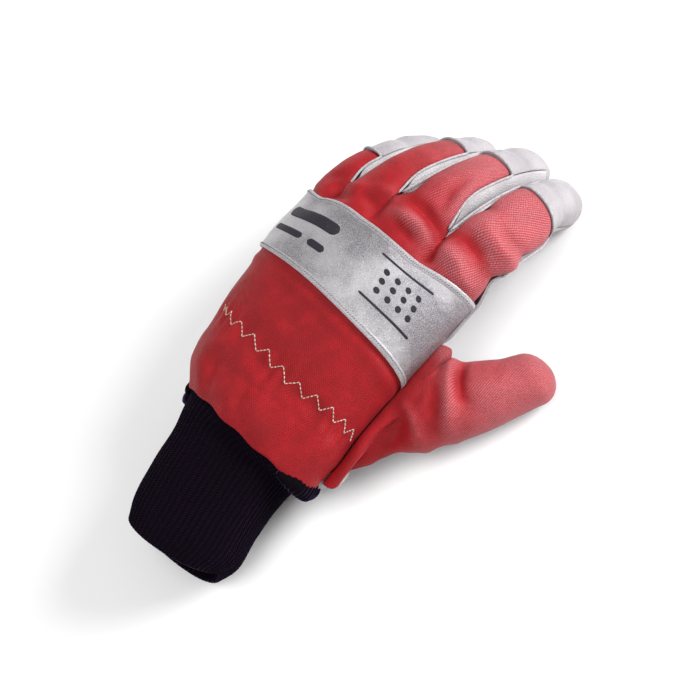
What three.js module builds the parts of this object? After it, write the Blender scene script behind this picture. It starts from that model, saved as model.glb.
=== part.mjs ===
// Left-hand chainsaw glove lying palm down, its fingers curled so that the tips touch the ground.
// Millimetres. X runs toward the thumb, Y along the fingers, Z up. The ground is Z = 0.
import * as THREE from "three";

// Driving dimensions of the hand part
const HAND_LENGTH = 125; // wrist edge to the highest crotch
const HAND_WIDTH = 100; // unit of the widths across the palm and of the finger spacing
const HAND_HEIGHT = 50; // ground to the middle finger's spine where it leaves the hand
const WRIST_SLANT = 5; // how much further back the wrist edge lies at the thumb side

// Driving dimensions of fingers and thumb
const PINKY_LENGTH = 67;
const RING_LENGTH = 75;
const MIDDLE_LENGTH = 80;
const INDEX_LENGTH = 76;
const FINGER_DEPTH = 25; // thickness of the middle finger
const FINGER_CLEARANCE = 0.6; // kept free between neighbouring fingers
const THUMB_LENGTH = 79; // base loop to tip, in plan
const THUMB_WIDTH = 25;
const THUMB_DEPTH = 24;
const THUMB_LOOP_DROP = 20; // how far the palm's edge hangs below the back's edge at the thumb
const CAP_LENGTH = 11; // leather cap that goes all round a fingertip

// Driving dimensions of the knitted cuff and the reflective band
const CUFF_LENGTH = 62;
const CUFF_WIDTH = 65;
const CUFF_DEPTH = 41;
const CUFF_END_BULGE = 8; // how far the cuff's end bows out in its middle
const CUFF_TUCK = 6; // stretch of knit inside the wrist
const RIB_PITCH = 4.4;
const RIB_DEPTH = 0.7;
const BAND_SHORTFALL = 1.2; // band ends this far before the side seams

// Walls and clearances
const BACK_WALL = 4; // padded layers in the middle of the back
const SEAM_WALL = 2; // padded cloth near seams and on fingers and thumb
const LEATHER_WALL = 1.6;
const KNIT_WALL = 2.2;
const BAND_WALL = 1;
const WELT_RADIUS = 0.9;
const SEAM_GAP = 0.4; // between the edges of two pieces sewn together
const CUFF_GAP = 1.2; // between the knit and the inside of the wrist, measured at the facets' corners
const WELT_START = 9; // the welts begin this far from the crotch
const LAYER_GAP = 0.35; // between the back and the band on it
const FLATTENING = 1.5; // how far soft parts are pressed flat on the ground
const CROTCH_TUCK = 0.6; // how much deeper than the seam a strip starts where two fingers meet

// Relief of the padded back
const GATHER_DEPTH = 1.6; // pull-in along the elastic at the wrist
const GATHER_WIDTH = 9;
const SEAM_FOLD = 2.5; // rolled fold of the thumb's cloth along the back's edge
const HEM_BULGE = 1.8; // puffed edge over the cuff
const HEM_SHARE = 0.14; // share of the hand's length that the puffed edge takes
const GATHER_SPAN = { rise: 0.12, full: 0.28, fade: 0.88, end: 0.97 }; // shares of the girth with elastic

// Shape exponents: 2 is an ellipse, larger is squarer
const HAND_ROUNDNESS = 2.3;
const FINGER_ROUNDNESS = 2.3;
const SOFT_ROUNDNESS = 2.2;

// Hand sections from wrist to crotch row. left, right: side seams as shares of HAND_WIDTH.
// leftSeam, rightSeam, dome, belly: seam heights, rise above and sag below them, shares of HAND_HEIGHT.
const HAND_SECTIONS = [
  { at: 0.0, left: -0.46, right: 0.38, leftSeam: 0.44, rightSeam: 0.4, dome: 0.5, belly: 0.45 },
  { at: 0.12, left: -0.53, right: 0.41, leftSeam: 0.46, rightSeam: 0.46, dome: 0.54, belly: 0.5 },
  { at: 0.3, left: -0.54, right: 0.44, leftSeam: 0.52, rightSeam: 0.54, dome: 0.56, belly: 0.55 },
  { at: 0.55, left: -0.53, right: 0.49, leftSeam: 0.6, rightSeam: 0.64, dome: 0.54, belly: 0.48 },
  { at: 0.78, left: -0.51, right: 0.54, leftSeam: 0.64, rightSeam: 0.76, dome: 0.52, belly: 0.44 },
  { at: 1.0, left: -0.5, right: 0.58, leftSeam: 0.58, rightSeam: 0.82, dome: 0.42, belly: 0.36 },
];

// Fingers. x, y, z: base as shares of hand width, length, height. width: share of HAND_WIDTH.
// depth: share of FINGER_DEPTH. slope: start slope down, heading and roll, degrees.
// Section angles, degrees, 90 is the back: edges of the red back and of the leather front.
// red: share of the length that is red cloth.
const FINGERS = [
  {
    name: "pinky", length: PINKY_LENGTH, x: -0.38, y: 0.936, z: 0.7, width: 0.238, depth: 0.92,
    heading: 16.5, slope: 0, roll: -33,
    backLeft: 188, backRight: 32, frontRight: -40, frontLeft: 188, red: 0.36,
  },
  {
    name: "ring", length: RING_LENGTH, x: -0.133, y: 0.992, z: 0.92, width: 0.262, depth: 0.96,
    heading: 13.5, slope: 14, roll: -19,
    backLeft: 152, backRight: 28, frontRight: -35, frontLeft: 215, red: 0.62,
  },
  {
    name: "middle", length: MIDDLE_LENGTH, x: 0.151, y: 1.016, z: 1.0, width: 0.278, depth: 1.0,
    heading: 10, slope: 15, roll: -2,
    backLeft: 152, backRight: 28, frontRight: -35, frontLeft: 215, red: 0.55,
  },
  {
    name: "index", length: INDEX_LENGTH, x: 0.425, y: 0.976, z: 0.9, width: 0.282, depth: 1.0,
    heading: 6.5, slope: 13, roll: 13,
    backLeft: 150, backRight: -8, frontRight: -8, frontLeft: 215, red: 0.56,
  },
];
const CROTCH_SHARES = [0.912, 0.968, 1.024, 1.008, 0.944]; // crotch row, shares of HAND_LENGTH
const FINGER_SHARES = [0, 0.224, 0.474, 0.733, 1]; // where the fingers divide the hand's girth
const FINGER_TAPER = 0.12;
const FINGER_BLEND = 16; // stretch over which a finger takes its own shape
const ROUND_END = 0.95; // length of a fingertip's dome as a share of the finger's half width
const CROTCH_TURN = 0.3; // share of a finger's width over which its wall turns upright at a crotch
const STRIP_BLEND = 1.3; // the strips need this many times the fingers' blend
const STRIP_TURN = 8; // stretch over which a strip's wall turns from the crotch to the finger's side
const STEEPEST_FINGER = 85; // degrees down at the tip, at most

// Thumb. out, along: spine in plan, shares of THUMB_LENGTH. fall: share of the way down to the tip.
// width, depth: shares of the thumb's half width and depth. yaw: heading, degrees.
const THUMB_SECTIONS = [
  { at: 0.0, out: 0.0, along: 0.0, fall: 0.0, width: 2.45, depth: 0.92, yaw: 62 },
  { at: 0.35, out: 0.222, along: 0.185, fall: 0.25, width: 1.7, depth: 1.17, yaw: 50 },
  { at: 0.62, out: 0.407, along: 0.383, fall: 0.58, width: 1.36, depth: 1.21, yaw: 42 },
  { at: 0.85, out: 0.556, along: 0.593, fall: 0.83, width: 1.08, depth: 1.08, yaw: 33 },
  { at: 1.0, out: 0.667, along: 0.753, fall: 1.0, width: 1.0, depth: 1.0, yaw: 28 },
];
const THUMB_FROM = 0.03; // share of the hand's length where the thumb's loop starts
const THUMB_TO = 0.7;
const THUMB_ROOT = { x: 0.44, y: 0.345, z: 0.48 }; // shares of hand width, length, height
const THUMB_DOME = 0.1; // share of the thumb that is its round end
const LOOP_LEAN = 0.1; // how far the loop's lower edge moves in for each millimetre that it hangs down
const LOOP_FLATTENING = 0.35; // how much the palm's sag lessens for each millimetre of that drop
const LOOP_SQUARENESS = 0.8; // below 1, the drop is nearly full along more of the loop
const THUMB_FREE = 0.55; // share of the thumb after which it has its own section
const THUMB_FOLD = 0.16; // share of the thumb that the rolled fold takes
const THUMB_BASE_GIRTH = 2.8; // girth at the base and at the tip, in thumb widths times pi
const THUMB_TIP_GIRTH = 0.8;

// Where one shape passes into the next: shares of the hand's length or girth
const ROW_BLEND = { from: 0.58, power: 1.3 }; // the hand's section turns into the fingers' row
const WALL_BLEND_FROM = 0.75; // the walls' direction does the same
const LOOP_WALL_FROM = 0.9; // the walls turn toward the thumb's loop
const SIDE_THINNING = 0.14; // the padding thins toward the side seams
const WRIST_THINNING = 0.12;
const ROW_THINNING = 0.8;
const WIDTH_TO_GIRTH = 0.7; // hand width over the back's length from side seam to side seam

// Cuff from its free end to the wrist. x: share of HAND_WIDTH. width, depth: shares of the half sizes.
const CUFF_SECTIONS = [
  { at: 0.0, x: -0.04, width: 0.85, depth: 0.94 },
  { at: 0.1, x: -0.042, width: 0.95, depth: 0.98 },
  { at: 0.4, x: -0.062, width: 1.0, depth: 0.98 },
  { at: 0.7, x: -0.07, width: 1.02, depth: 1.0 },
  { at: 0.9, x: -0.075, width: 1.09, depth: 1.02 },
  { at: 1.0, x: -0.06, width: 1.13, depth: 1.03 },
];

// Edges of the reflective band: low and high, shares of the hand's length at shares of its girth
const BAND_EDGES = [
  { at: 0.0, low: 0.67, high: 0.93 },
  { at: 0.35, low: 0.59, high: 0.89 },
  { at: 0.62, low: 0.53, high: 0.855 },
  { at: 1.0, low: 0.49, high: 0.885 },
];

// Line of the elastic gather: height, a share of the hand's length, at shares of its girth
const GATHER_LINE = [
  { at: 0.0, height: 0.42 },
  { at: 0.25, height: 0.34 },
  { at: 0.6, height: 0.235 },
  { at: 1.0, height: 0.2 },
];

// Mesh fineness
const BACK_STEPS_PER_FINGER = 5;
const FRONT_STEPS_PER_FINGER = 4;
const ROWS_IN_LOOP = 10;
const ROWS_ABOVE_LOOP = [0.2, 0.4, 0.55, 0.7, 0.85, 1];
const FINGER_ROWS = 12;
const RED_FINGER_ROWS = 6;
const FOURCHETTE_ROWS = 10;
const FOURCHETTE_COLUMNS = 3;
const BAND_ROWS = 5;
const WELT_ROWS = 6;
const WELT_END_STEPS = 5;
const CAP_RING_STEPS = 18;
const THUMB_ROWS = [0, 0.07, 0.15, 0.25, 0.36, 0.48, 0.6, 0.71, 0.81, 0.9, 0.955, 0.985, 1];
const CAP_DOME_ROWS = [0, 0.45, 0.75, 0.93, 1];
const CUFF_ROWS = [0, 0.1, 0.3, 0.5, 0.7, 0.87, 0.97];
const WELT_SIDES = 4;
const TABLE_SAMPLES = 240;
const SPINE_SAMPLES = 200;
const BEND_TRIES = 16;
const EPSILON = 1e-4;
const FULL_TURN = 360; // degrees

const clamp = THREE.MathUtils.clamp;
const lerp = THREE.MathUtils.lerp;
const radians = THREE.MathUtils.degToRad;

function vector(x, y, z) {
  return new THREE.Vector3(x, y, z);
}

function mix(a, b, share) {
  return a.clone().lerp(b, share);
}

function smooth(from, to, x) {
  return THREE.MathUtils.smoothstep(x, from, to);
}

// Slope of a table's column at one of its rows
function slopeAt(rows, column, i) {
  const last = rows.length - 1;
  const before = rows[Math.max(i - 1, 0)];
  const after = rows[Math.min(i + 1, last)];
  if (i === 0 || i === last) return (after[column] - before[column]) / (after.at - before.at);
  const stepBack = rows[i].at - before.at;
  const stepOn = after.at - rows[i].at;
  const slopeBack = (rows[i][column] - before[column]) / stepBack;
  const slopeOn = (after[column] - rows[i][column]) / stepOn;
  return (slopeBack * stepOn + slopeOn * stepBack) / (stepBack + stepOn);
}

// Smooth curve through a table's column
function along(rows, column, share) {
  const last = rows.length - 1;
  const t = clamp(share, rows[0].at, rows[last].at);
  let i = 0;
  while (i < last - 1 && rows[i + 1].at <= t) i += 1;
  const step = rows[i + 1].at - rows[i].at;
  const x = (t - rows[i].at) / step;
  const rise = x * x * (3 - 2 * x);
  const leave = x * (1 - x) * (1 - x) * step * slopeAt(rows, column, i);
  const arrive = x * x * (1 - x) * step * slopeAt(rows, column, i + 1);
  return lerp(rows[i][column], rows[i + 1][column], rise) + leave - arrive;
}

function superellipse(angle, roundness) {
  const c = Math.cos(angle);
  const s = Math.sin(angle);
  return {
    across: Math.sign(c) * Math.abs(c) ** (2 / roundness),
    up: Math.sign(s) * Math.abs(s) ** (2 / roundness),
  };
}

// Half superellipse from its left end over the top to its right end, by share of its length
function makeArc(roundness) {
  const samples = [{ at: 0, across: -1, up: 0 }];
  for (let i = 1; i <= TABLE_SAMPLES; i += 1) {
    const point = superellipse(Math.PI * (1 - i / TABLE_SAMPLES), roundness);
    const before = samples[i - 1];
    const length = Math.hypot(point.across - before.across, point.up - before.up);
    samples.push({ at: before.at + length, across: point.across, up: point.up });
  }
  const total = samples[TABLE_SAMPLES].at;
  return (share) => {
    const goal = clamp(share, 0, 1) * total;
    let i = 1;
    while (i < TABLE_SAMPLES && samples[i].at < goal) i += 1;
    const low = samples[i - 1];
    const high = samples[i];
    const t = (goal - low.at) / (high.at - low.at);
    return { across: lerp(low.across, high.across, t), up: lerp(low.up, high.up, t) };
  };
}
const handArc = makeArc(HAND_ROUNDNESS);
const softArc = makeArc(SOFT_ROUNDNESS);

// Outward normal of a tube given as a function of shares along and round it, by small steps.
// At the tube's closed end it is the direction in which the tube ends.
function normalOf(surface, a, b, ending) {
  if (a > 1 - EPSILON) return ending.clone();
  const alongA = surface(a + EPSILON, b).sub(surface(Math.max(a - EPSILON, 0), b));
  const alongB = surface(a, b + EPSILON).sub(surface(a, b - EPSILON));
  return alongA.cross(alongB).normalize();
}

// Hand

function thumbShare(v) {
  return clamp((v - THUMB_FROM) / (THUMB_TO - THUMB_FROM), 0, 1);
}

function thumbDrop(v) {
  return THUMB_LOOP_DROP * Math.sin(Math.PI * thumbShare(v)) ** LOOP_SQUARENESS;
}

function crotchLine(u) {
  const rows = FINGER_SHARES.map((at, i) => ({ at, y: CROTCH_SHARES[i] * HAND_LENGTH }));
  return along(rows, "y", u);
}

function handY(u, v) {
  const wrist = lerp(0, -WRIST_SLANT, u);
  return lerp(wrist, crotchLine(u), v);
}

function sideSeam(v) {
  const left = vector(along(HAND_SECTIONS, "left", v) * HAND_WIDTH, 0, 0);
  const right = vector(along(HAND_SECTIONS, "right", v) * HAND_WIDTH, 0, 0);
  left.z = along(HAND_SECTIONS, "leftSeam", v) * HAND_HEIGHT;
  right.z = along(HAND_SECTIONS, "rightSeam", v) * HAND_HEIGHT;
  return { left, right };
}

// Puffed hem at the wrist, gather at the elastic, and nothing near the crotch row
function backRelief(u, v) {
  const hem = HEM_BULGE * Math.sin(Math.PI * clamp(v / HEM_SHARE, 0, 1));
  const line = along(GATHER_LINE, "height", u);
  const away = ((v - line) * HAND_LENGTH) / GATHER_WIDTH;
  const begun = smooth(GATHER_SPAN.rise, GATHER_SPAN.full, u);
  const inside = begun * (1 - smooth(GATHER_SPAN.fade, GATHER_SPAN.end, u));
  return hem - GATHER_DEPTH * inside * Math.exp(-away * away);
}

// Section of the hand: a point on it and the direction to its inside
function handSection(u, v, isBack) {
  const seam = sideSeam(v);
  const drop = isBack ? 0 : thumbDrop(v);
  seam.right.z -= drop;
  seam.right.x -= LOOP_LEAN * drop;
  const middle = mix(seam.left, seam.right, 0.5);
  const half = seam.right.clone().sub(seam.left).multiplyScalar(0.5);
  const chord = half.clone().normalize();
  const up = vector(-chord.z, 0, chord.x);
  const dome = along(HAND_SECTIONS, "dome", v) * HAND_HEIGHT + backRelief(u, v);
  const belly = along(HAND_SECTIONS, "belly", v) * HAND_HEIGHT - LOOP_FLATTENING * drop;
  const height = isBack ? dome : -belly;
  const arc = handArc(u);
  const point = middle.clone().addScaledVector(half, arc.across).addScaledVector(up, height * arc.up);
  point.y = handY(u, v);
  const power = HAND_ROUNDNESS - 1;
  const toSide = (-Math.sign(arc.across) * Math.abs(arc.across) ** power) / half.length();
  const inward = chord.clone().multiplyScalar(toSide);
  inward.addScaledVector(up, -(arc.up ** power) / height);
  return { point, inward: inward.normalize() };
}

// Direction in which the walls run at the thumb's loop, shared by the pieces that meet there
function loopInward(v, isBack) {
  const seam = sideSeam(v);
  const side = seam.left.clone().sub(seam.right).normalize();
  const open = Math.sqrt(Math.sin(Math.PI * thumbShare(v)));
  const corner = isBack ? vector(-0.7, 0, -0.7) : vector(-0.35, 0, 0.94);
  return mix(side, corner, open).normalize();
}

// Fingers

function fingerFrame(finger, share) {
  const heading = radians(finger.heading);
  const slope = radians(lerp(finger.slope, finger.endSlope, share));
  const roll = radians(finger.roll);
  const flat = vector(Math.sin(heading), Math.cos(heading), 0);
  const ahead = flat.multiplyScalar(Math.cos(slope)).add(vector(0, 0, -Math.sin(slope)));
  const level = vector(Math.cos(heading), -Math.sin(heading), 0);
  const upright = level.clone().cross(ahead);
  const right = level.clone().multiplyScalar(Math.cos(roll)).addScaledVector(upright, -Math.sin(roll));
  const up = level.multiplyScalar(Math.sin(roll)).addScaledVector(upright, Math.cos(roll));
  return { ahead, right, up };
}

function makeSpine(finger) {
  const points = [vector(finger.x * HAND_WIDTH, finger.y * HAND_LENGTH, finger.z * HAND_HEIGHT)];
  for (let i = 0; i < SPINE_SAMPLES; i += 1) {
    const frame = fingerFrame(finger, (i + 0.5) / SPINE_SAMPLES);
    points.push(points[i].clone().addScaledVector(frame.ahead, finger.length / SPINE_SAMPLES));
  }
  return points;
}

function onSpine(finger, share) {
  const place = clamp(share, 0, 1) * SPINE_SAMPLES;
  const i = Math.min(Math.floor(place), SPINE_SAMPLES - 1);
  return mix(finger.spine[i], finger.spine[i + 1], place - i);
}

function tube(finger, share, degrees) {
  const roundEnd = (finger.halfWidth * ROUND_END) / finger.length;
  const past = clamp((share - 1 + roundEnd) / roundEnd, 0, 1);
  const girth = (1 - FINGER_TAPER * share) * Math.sqrt(Math.max(1 - past * past, 0));
  const frame = fingerFrame(finger, share);
  const around = superellipse(radians(degrees), FINGER_ROUNDNESS);
  const point = onSpine(finger, share);
  point.addScaledVector(frame.right, finger.halfWidth * girth * around.across);
  return point.addScaledVector(frame.up, finger.halfDepth * girth * around.up);
}

function lowestPoint(finger) {
  let lowest = Infinity;
  for (let share = 0.7; share < 1; share += 0.02) {
    for (let degrees = FULL_TURN / 2; degrees <= FULL_TURN; degrees += 15) {
      lowest = Math.min(lowest, tube(finger, share, degrees).z);
    }
  }
  return lowest;
}

// Each finger bends down until its tip is pressed on the ground
function bendFinger(finger) {
  let low = finger.slope + 1;
  let high = STEEPEST_FINGER;
  for (let i = 0; i < BEND_TRIES; i += 1) {
    finger.endSlope = (low + high) / 2;
    finger.spine = makeSpine(finger);
    if (lowestPoint(finger) > -FLATTENING) low = finger.endSlope;
    else high = finger.endSlope;
  }
}

for (const finger of FINGERS) {
  finger.halfWidth = (finger.width * HAND_WIDTH - FINGER_CLEARANCE) / 2;
  finger.halfDepth = (finger.depth * FINGER_DEPTH) / 2;
  bendFinger(finger);
}

function tubeInward(finger, share, degrees) {
  const surface = (a, b) => tube(finger, a, b * FULL_TURN);
  return normalOf(surface, share, degrees / FULL_TURN, fingerFrame(finger, 1).ahead).negate();
}

// Seam points where neighbouring fingers meet, on the back and on the front
const backCrotch = [tube(FINGERS[0], 0, FINGERS[0].backLeft)];
const frontCrotch = [tube(FINGERS[0], 0, FINGERS[0].frontLeft)];
for (let i = 0; i < FINGERS.length - 1; i += 1) {
  const [a, b] = [FINGERS[i], FINGERS[i + 1]];
  backCrotch.push(mix(tube(a, 0, a.backRight), tube(b, 0, b.backLeft), 0.5));
  frontCrotch.push(mix(tube(a, 0, a.frontRight), tube(b, 0, b.frontLeft), 0.5));
}
const index = FINGERS[FINGERS.length - 1];
backCrotch.push(tube(index, 0, index.backRight));
frontCrotch.push(tube(index, 0, index.frontRight));

function sectionAngles(finger, isBack) {
  if (isBack) return [finger.backLeft, finger.backRight];
  return [finger.frontLeft, finger.frontRight + FULL_TURN];
}

// Row where a finger leaves the hand, from its little-finger side to its thumb side
function fingerRow(i, across, isBack) {
  const finger = FINGERS[i];
  const ends = isBack ? backCrotch : frontCrotch;
  const [from, to] = sectionAngles(finger, isBack);
  const point = tube(finger, 0, lerp(from, to, across));
  point.addScaledVector(ends[i].clone().sub(tube(finger, 0, from)), 1 - across);
  return point.addScaledVector(ends[i + 1].clone().sub(tube(finger, 0, to)), across);
}

// Wall direction at the row: each finger's own, straight up or down at the shared crotches
function rowInward(i, across, isBack, share) {
  const finger = FINGERS[i];
  const [from, to] = sectionAngles(finger, isBack);
  const inward = tubeInward(finger, share, lerp(from, to, across));
  const upright = vector(0, 0, isBack ? -1 : 1);
  const nearLeft = i > 0 ? 1 - smooth(0, CROTCH_TURN, across) : 0;
  const nearRight = i < FINGERS.length - 1 ? smooth(1 - CROTCH_TURN, 1, across) : 0;
  const near = Math.max(nearLeft, nearRight) * (1 - smooth(0, FINGER_BLEND / finger.length, share));
  return mix(inward, upright, near).normalize();
}

function fingerAt(u) {
  let i = 0;
  while (i < FINGERS.length - 1 && u > FINGER_SHARES[i + 1]) i += 1;
  const across = (u - FINGER_SHARES[i]) / (FINGER_SHARES[i + 1] - FINGER_SHARES[i]);
  return { i, across: clamp(across, 0, 1) };
}

function handPoint(u, v, isBack) {
  const section = handSection(u, v, isBack).point;
  const { i, across } = fingerAt(u);
  const reach = smooth(ROW_BLEND.from, 1, v) ** ROW_BLEND.power;
  const change = fingerRow(i, across, isBack).sub(handSection(u, 1, isBack).point);
  return section.addScaledVector(change, reach);
}

function handInward(u, v, isBack) {
  const section = handSection(u, v, isBack).inward;
  const inLoop = v > THUMB_FROM && v < THUMB_TO;
  const atLoop = inLoop ? smooth(LOOP_WALL_FROM, 1, u) : 0;
  section.lerp(loopInward(v, isBack), atLoop).normalize();
  const { i, across } = fingerAt(u);
  return section.lerp(rowInward(i, across, isBack, 0), smooth(WALL_BLEND_FROM, 1, v)).normalize();
}

function backWall(u, v) {
  const fromSide = smooth(0, SIDE_THINNING, Math.min(u, 1 - u));
  const fromEnds = smooth(0, WRIST_THINNING, v) * (1 - smooth(ROW_THINNING, 1, v));
  return lerp(SEAM_WALL, BACK_WALL, fromSide * fromEnds);
}

function fingerPoint(i, share, across, isBack) {
  const finger = FINGERS[i];
  const [from, to] = sectionAngles(finger, isBack);
  const degrees = lerp(from, to, across);
  const point = tube(finger, share, degrees);
  const change = fingerRow(i, across, isBack).sub(tube(finger, 0, degrees));
  return point.addScaledVector(change, 1 - smooth(0, FINGER_BLEND / finger.length, share));
}

// Soft skin that would sink into the ground lies flat on it
function rested(outer, inner, wall) {
  outer.z = Math.max(outer.z, 0);
  inner.z = Math.max(inner.z, 0.9 * wall);
  return { outer, inner };
}

function layer(point, inward, wall) {
  return rested(point.clone(), point.clone().addScaledVector(inward, wall), wall);
}

// Sheet of a given wall, closed along all its edges. Each vertex holds an outer and an inner point.
class Sheet {
  constructor() {
    this.vertices = [];
    this.cells = [];
    this.names = new Map();
  }

  vertex(name, make) {
    if (!this.names.has(name)) {
      this.names.set(name, this.vertices.length);
      this.vertices.push(make());
    }
    return this.names.get(name);
  }

  // A cell by its corners in turn; corners that coincide leave a triangle
  cell(corners) {
    const kept = corners.filter((corner, i) => corner !== corners[(i + 1) % corners.length]);
    if (kept.length > 2) this.cells.push(kept);
  }

  // Rows and columns of cells over a function that makes the vertex at a row and a column
  grid(rows, columns, vertexAt) {
    for (let r = 0; r < rows; r += 1) {
      for (let c = 0; c < columns; c += 1) {
        this.cell([vertexAt(r, c), vertexAt(r, c + 1), vertexAt(r + 1, c + 1), vertexAt(r + 1, c)]);
      }
    }
  }

  geometry() {
    const count = this.vertices.length;
    const faces = [];
    const edges = new Set();
    for (const cell of this.cells) {
      for (let i = 1; i < cell.length - 1; i += 1) {
        faces.push([cell[0], cell[i], cell[i + 1]]);
        faces.push([cell[0] + count, cell[i + 1] + count, cell[i] + count]);
      }
      cell.forEach((corner, i) => edges.add(`${corner} ${cell[(i + 1) % cell.length]}`));
    }
    for (const edge of edges) {
      const [from, to] = edge.split(" ").map(Number);
      if (!edges.has(`${to} ${from}`)) {
        faces.push([to, from, from + count]);
        faces.push([to, from + count, to + count]);
      }
    }
    const points = [...this.vertices.map((v) => v.outer), ...this.vertices.map((v) => v.inner)];
    return closedGeometry(points, faces);
  }
}

// Geometry from points and faces, turned so that its faces point outward
function closedGeometry(points, faces) {
  let volume = 0;
  for (const [a, b, c] of faces) volume += points[a].dot(points[b].clone().cross(points[c]));
  const turned = volume < 0 ? faces.map(([a, b, c]) => [a, c, b]) : faces;
  const geometry = new THREE.BufferGeometry();
  geometry.setAttribute("position", new THREE.Float32BufferAttribute(points.flatMap((p) => p.toArray()), 3));
  geometry.setIndex(turned.flat());
  geometry.computeVertexNormals();
  return geometry;
}

const halfGap = SEAM_GAP / 2;

// Rows of the hand, with one at each end of the thumb's loop
const loopShares = Array.from({ length: ROWS_IN_LOOP + 1 }, (_, i) => i / ROWS_IN_LOOP);
const loopRows = loopShares.map((share) => lerp(THUMB_FROM, THUMB_TO, share));
const handRows = [0, ...loopRows, ...ROWS_ABOVE_LOOP.map((share) => lerp(THUMB_TO, 1, share))];
const backGirth = HAND_WIDTH / WIDTH_TO_GIRTH;
const girthInset = SEAM_GAP / backGirth;

// Hand columns: the same number for each finger, a little in from the side seams
function handColumns(stepsPerFinger) {
  const columns = [];
  for (let i = 0; i < FINGERS.length; i += 1) {
    for (let k = 0; k < stepsPerFinger; k += 1) {
      columns.push(lerp(FINGER_SHARES[i], FINGER_SHARES[i + 1], k / stepsPerFinger));
    }
  }
  columns.push(1);
  return columns.map((u) => clamp(u, girthInset, 1 - girthInset));
}

function capStart(finger) {
  return 1 - CAP_LENGTH / finger.length;
}

// Across a finger's back or front, a gap in from its seams beyond the crotch
function insetAcross(finger, across, isBack, share) {
  const [from, to] = sectionAngles(finger, isBack);
  const arc = Math.abs(radians(to - from)) * finger.halfWidth;
  const inset = (halfGap / arc) * smooth(0, 2 / finger.length, share);
  return clamp(across, inset, 1 - inset);
}

// Back of the hand with the backs of the four fingers, or the palm with the four finger fronts
function handSheet(isBack, stepsPerFinger, fingerEnd, fingerRows, wallAt) {
  const sheet = new Sheet();
  const columns = handColumns(stepsPerFinger);
  const lastRow = handRows.length - 1;
  const handVertex = (row, column) => sheet.vertex(`hand ${row} ${column}`, () => {
    const u = columns[column];
    const v = handRows[row];
    return layer(handPoint(u, v, isBack), handInward(u, v, isBack), wallAt(u, v));
  });
  sheet.grid(lastRow, columns.length - 1, handVertex);
  FINGERS.forEach((finger, i) => {
    const end = fingerEnd(finger);
    sheet.grid(fingerRows, stepsPerFinger, (row, k) => {
      if (row === 0) return handVertex(lastRow, i * stepsPerFinger + k);
      return sheet.vertex(`finger ${i} ${row} ${k}`, () => {
        const share = (end * row) / fingerRows;
        const across = insetAcross(finger, k / stepsPerFinger, isBack, share);
        const inward = rowInward(i, across, isBack, share);
        const wall = wallAt(columns[i * stepsPerFinger + k], 1);
        return layer(fingerPoint(i, share, across, isBack), inward, wall);
      });
    });
  });
  return sheet.geometry();
}

function backPanel() {
  const end = (finger) => finger.red - halfGap / finger.length;
  return handSheet(true, BACK_STEPS_PER_FINGER, end, RED_FINGER_ROWS, backWall);
}

function palmPanel() {
  const end = (finger) => capStart(finger) - halfGap / finger.length;
  return handSheet(false, FRONT_STEPS_PER_FINGER, end, FINGER_ROWS, () => LEATHER_WALL);
}

// Leather strip between two fingers: down one finger's wall to the crotch and out along the next one's
function fourchettePoint(i, isRight, share, down) {
  const finger = FINGERS[i];
  const from = isRight ? finger.backRight : finger.backLeft;
  const to = isRight ? finger.frontRight : finger.frontLeft;
  const k = isRight ? i + 1 : i;
  const near = 1 - smooth(0, (FINGER_BLEND * STRIP_BLEND) / finger.length, share);
  const tuck = (SEAM_WALL + SEAM_GAP + CROTCH_TUCK) * near + halfGap;
  const arc = Math.abs(radians(to - from)) * finger.halfDepth;
  const inset = tuck / arc;
  const place = lerp(inset, 1 - inset, down);
  const degrees = lerp(from, to, place);
  const ahead = fingerFrame(finger, 0).ahead;
  const corner = mix(backCrotch[k], frontCrotch[k], place).addScaledVector(ahead, LEATHER_WALL + SEAM_GAP);
  const point = tube(finger, share, degrees);
  const change = corner.clone().sub(tube(finger, 0, degrees));
  point.addScaledVector(change, 1 - smooth(0, FINGER_BLEND / finger.length, share));
  const back = ahead.negate();
  const turned = smooth(0, STRIP_TURN / finger.length, share);
  const inward = mix(back, tubeInward(finger, share, degrees), turned).normalize();
  return { point, inward };
}

function fourchette(i) {
  const sheet = new Sheet();
  const ends = [FINGERS[i], FINGERS[i + 1]].map((f) => capStart(f) - halfGap / f.length);
  const vertexAt = (row, column) => sheet.vertex(`${row} ${column}`, () => {
    const side = row < FOURCHETTE_ROWS ? 0 : 1;
    const share = (ends[side] * Math.abs(row - FOURCHETTE_ROWS)) / FOURCHETTE_ROWS;
    if (row !== FOURCHETTE_ROWS) {
      const { point, inward } = fourchettePoint(i + side, side === 0, share, column / FOURCHETTE_COLUMNS);
      return layer(point, inward, LEATHER_WALL);
    }
    const one = fourchettePoint(i, true, 0, column / FOURCHETTE_COLUMNS);
    const other = fourchettePoint(i + 1, false, 0, column / FOURCHETTE_COLUMNS);
    const inward = mix(one.inward, other.inward, 0.5).normalize();
    return layer(mix(one.point, other.point, 0.5), inward, LEATHER_WALL);
  });
  sheet.grid(2 * FOURCHETTE_ROWS, FOURCHETTE_COLUMNS, vertexAt);
  return sheet.geometry();
}

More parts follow.
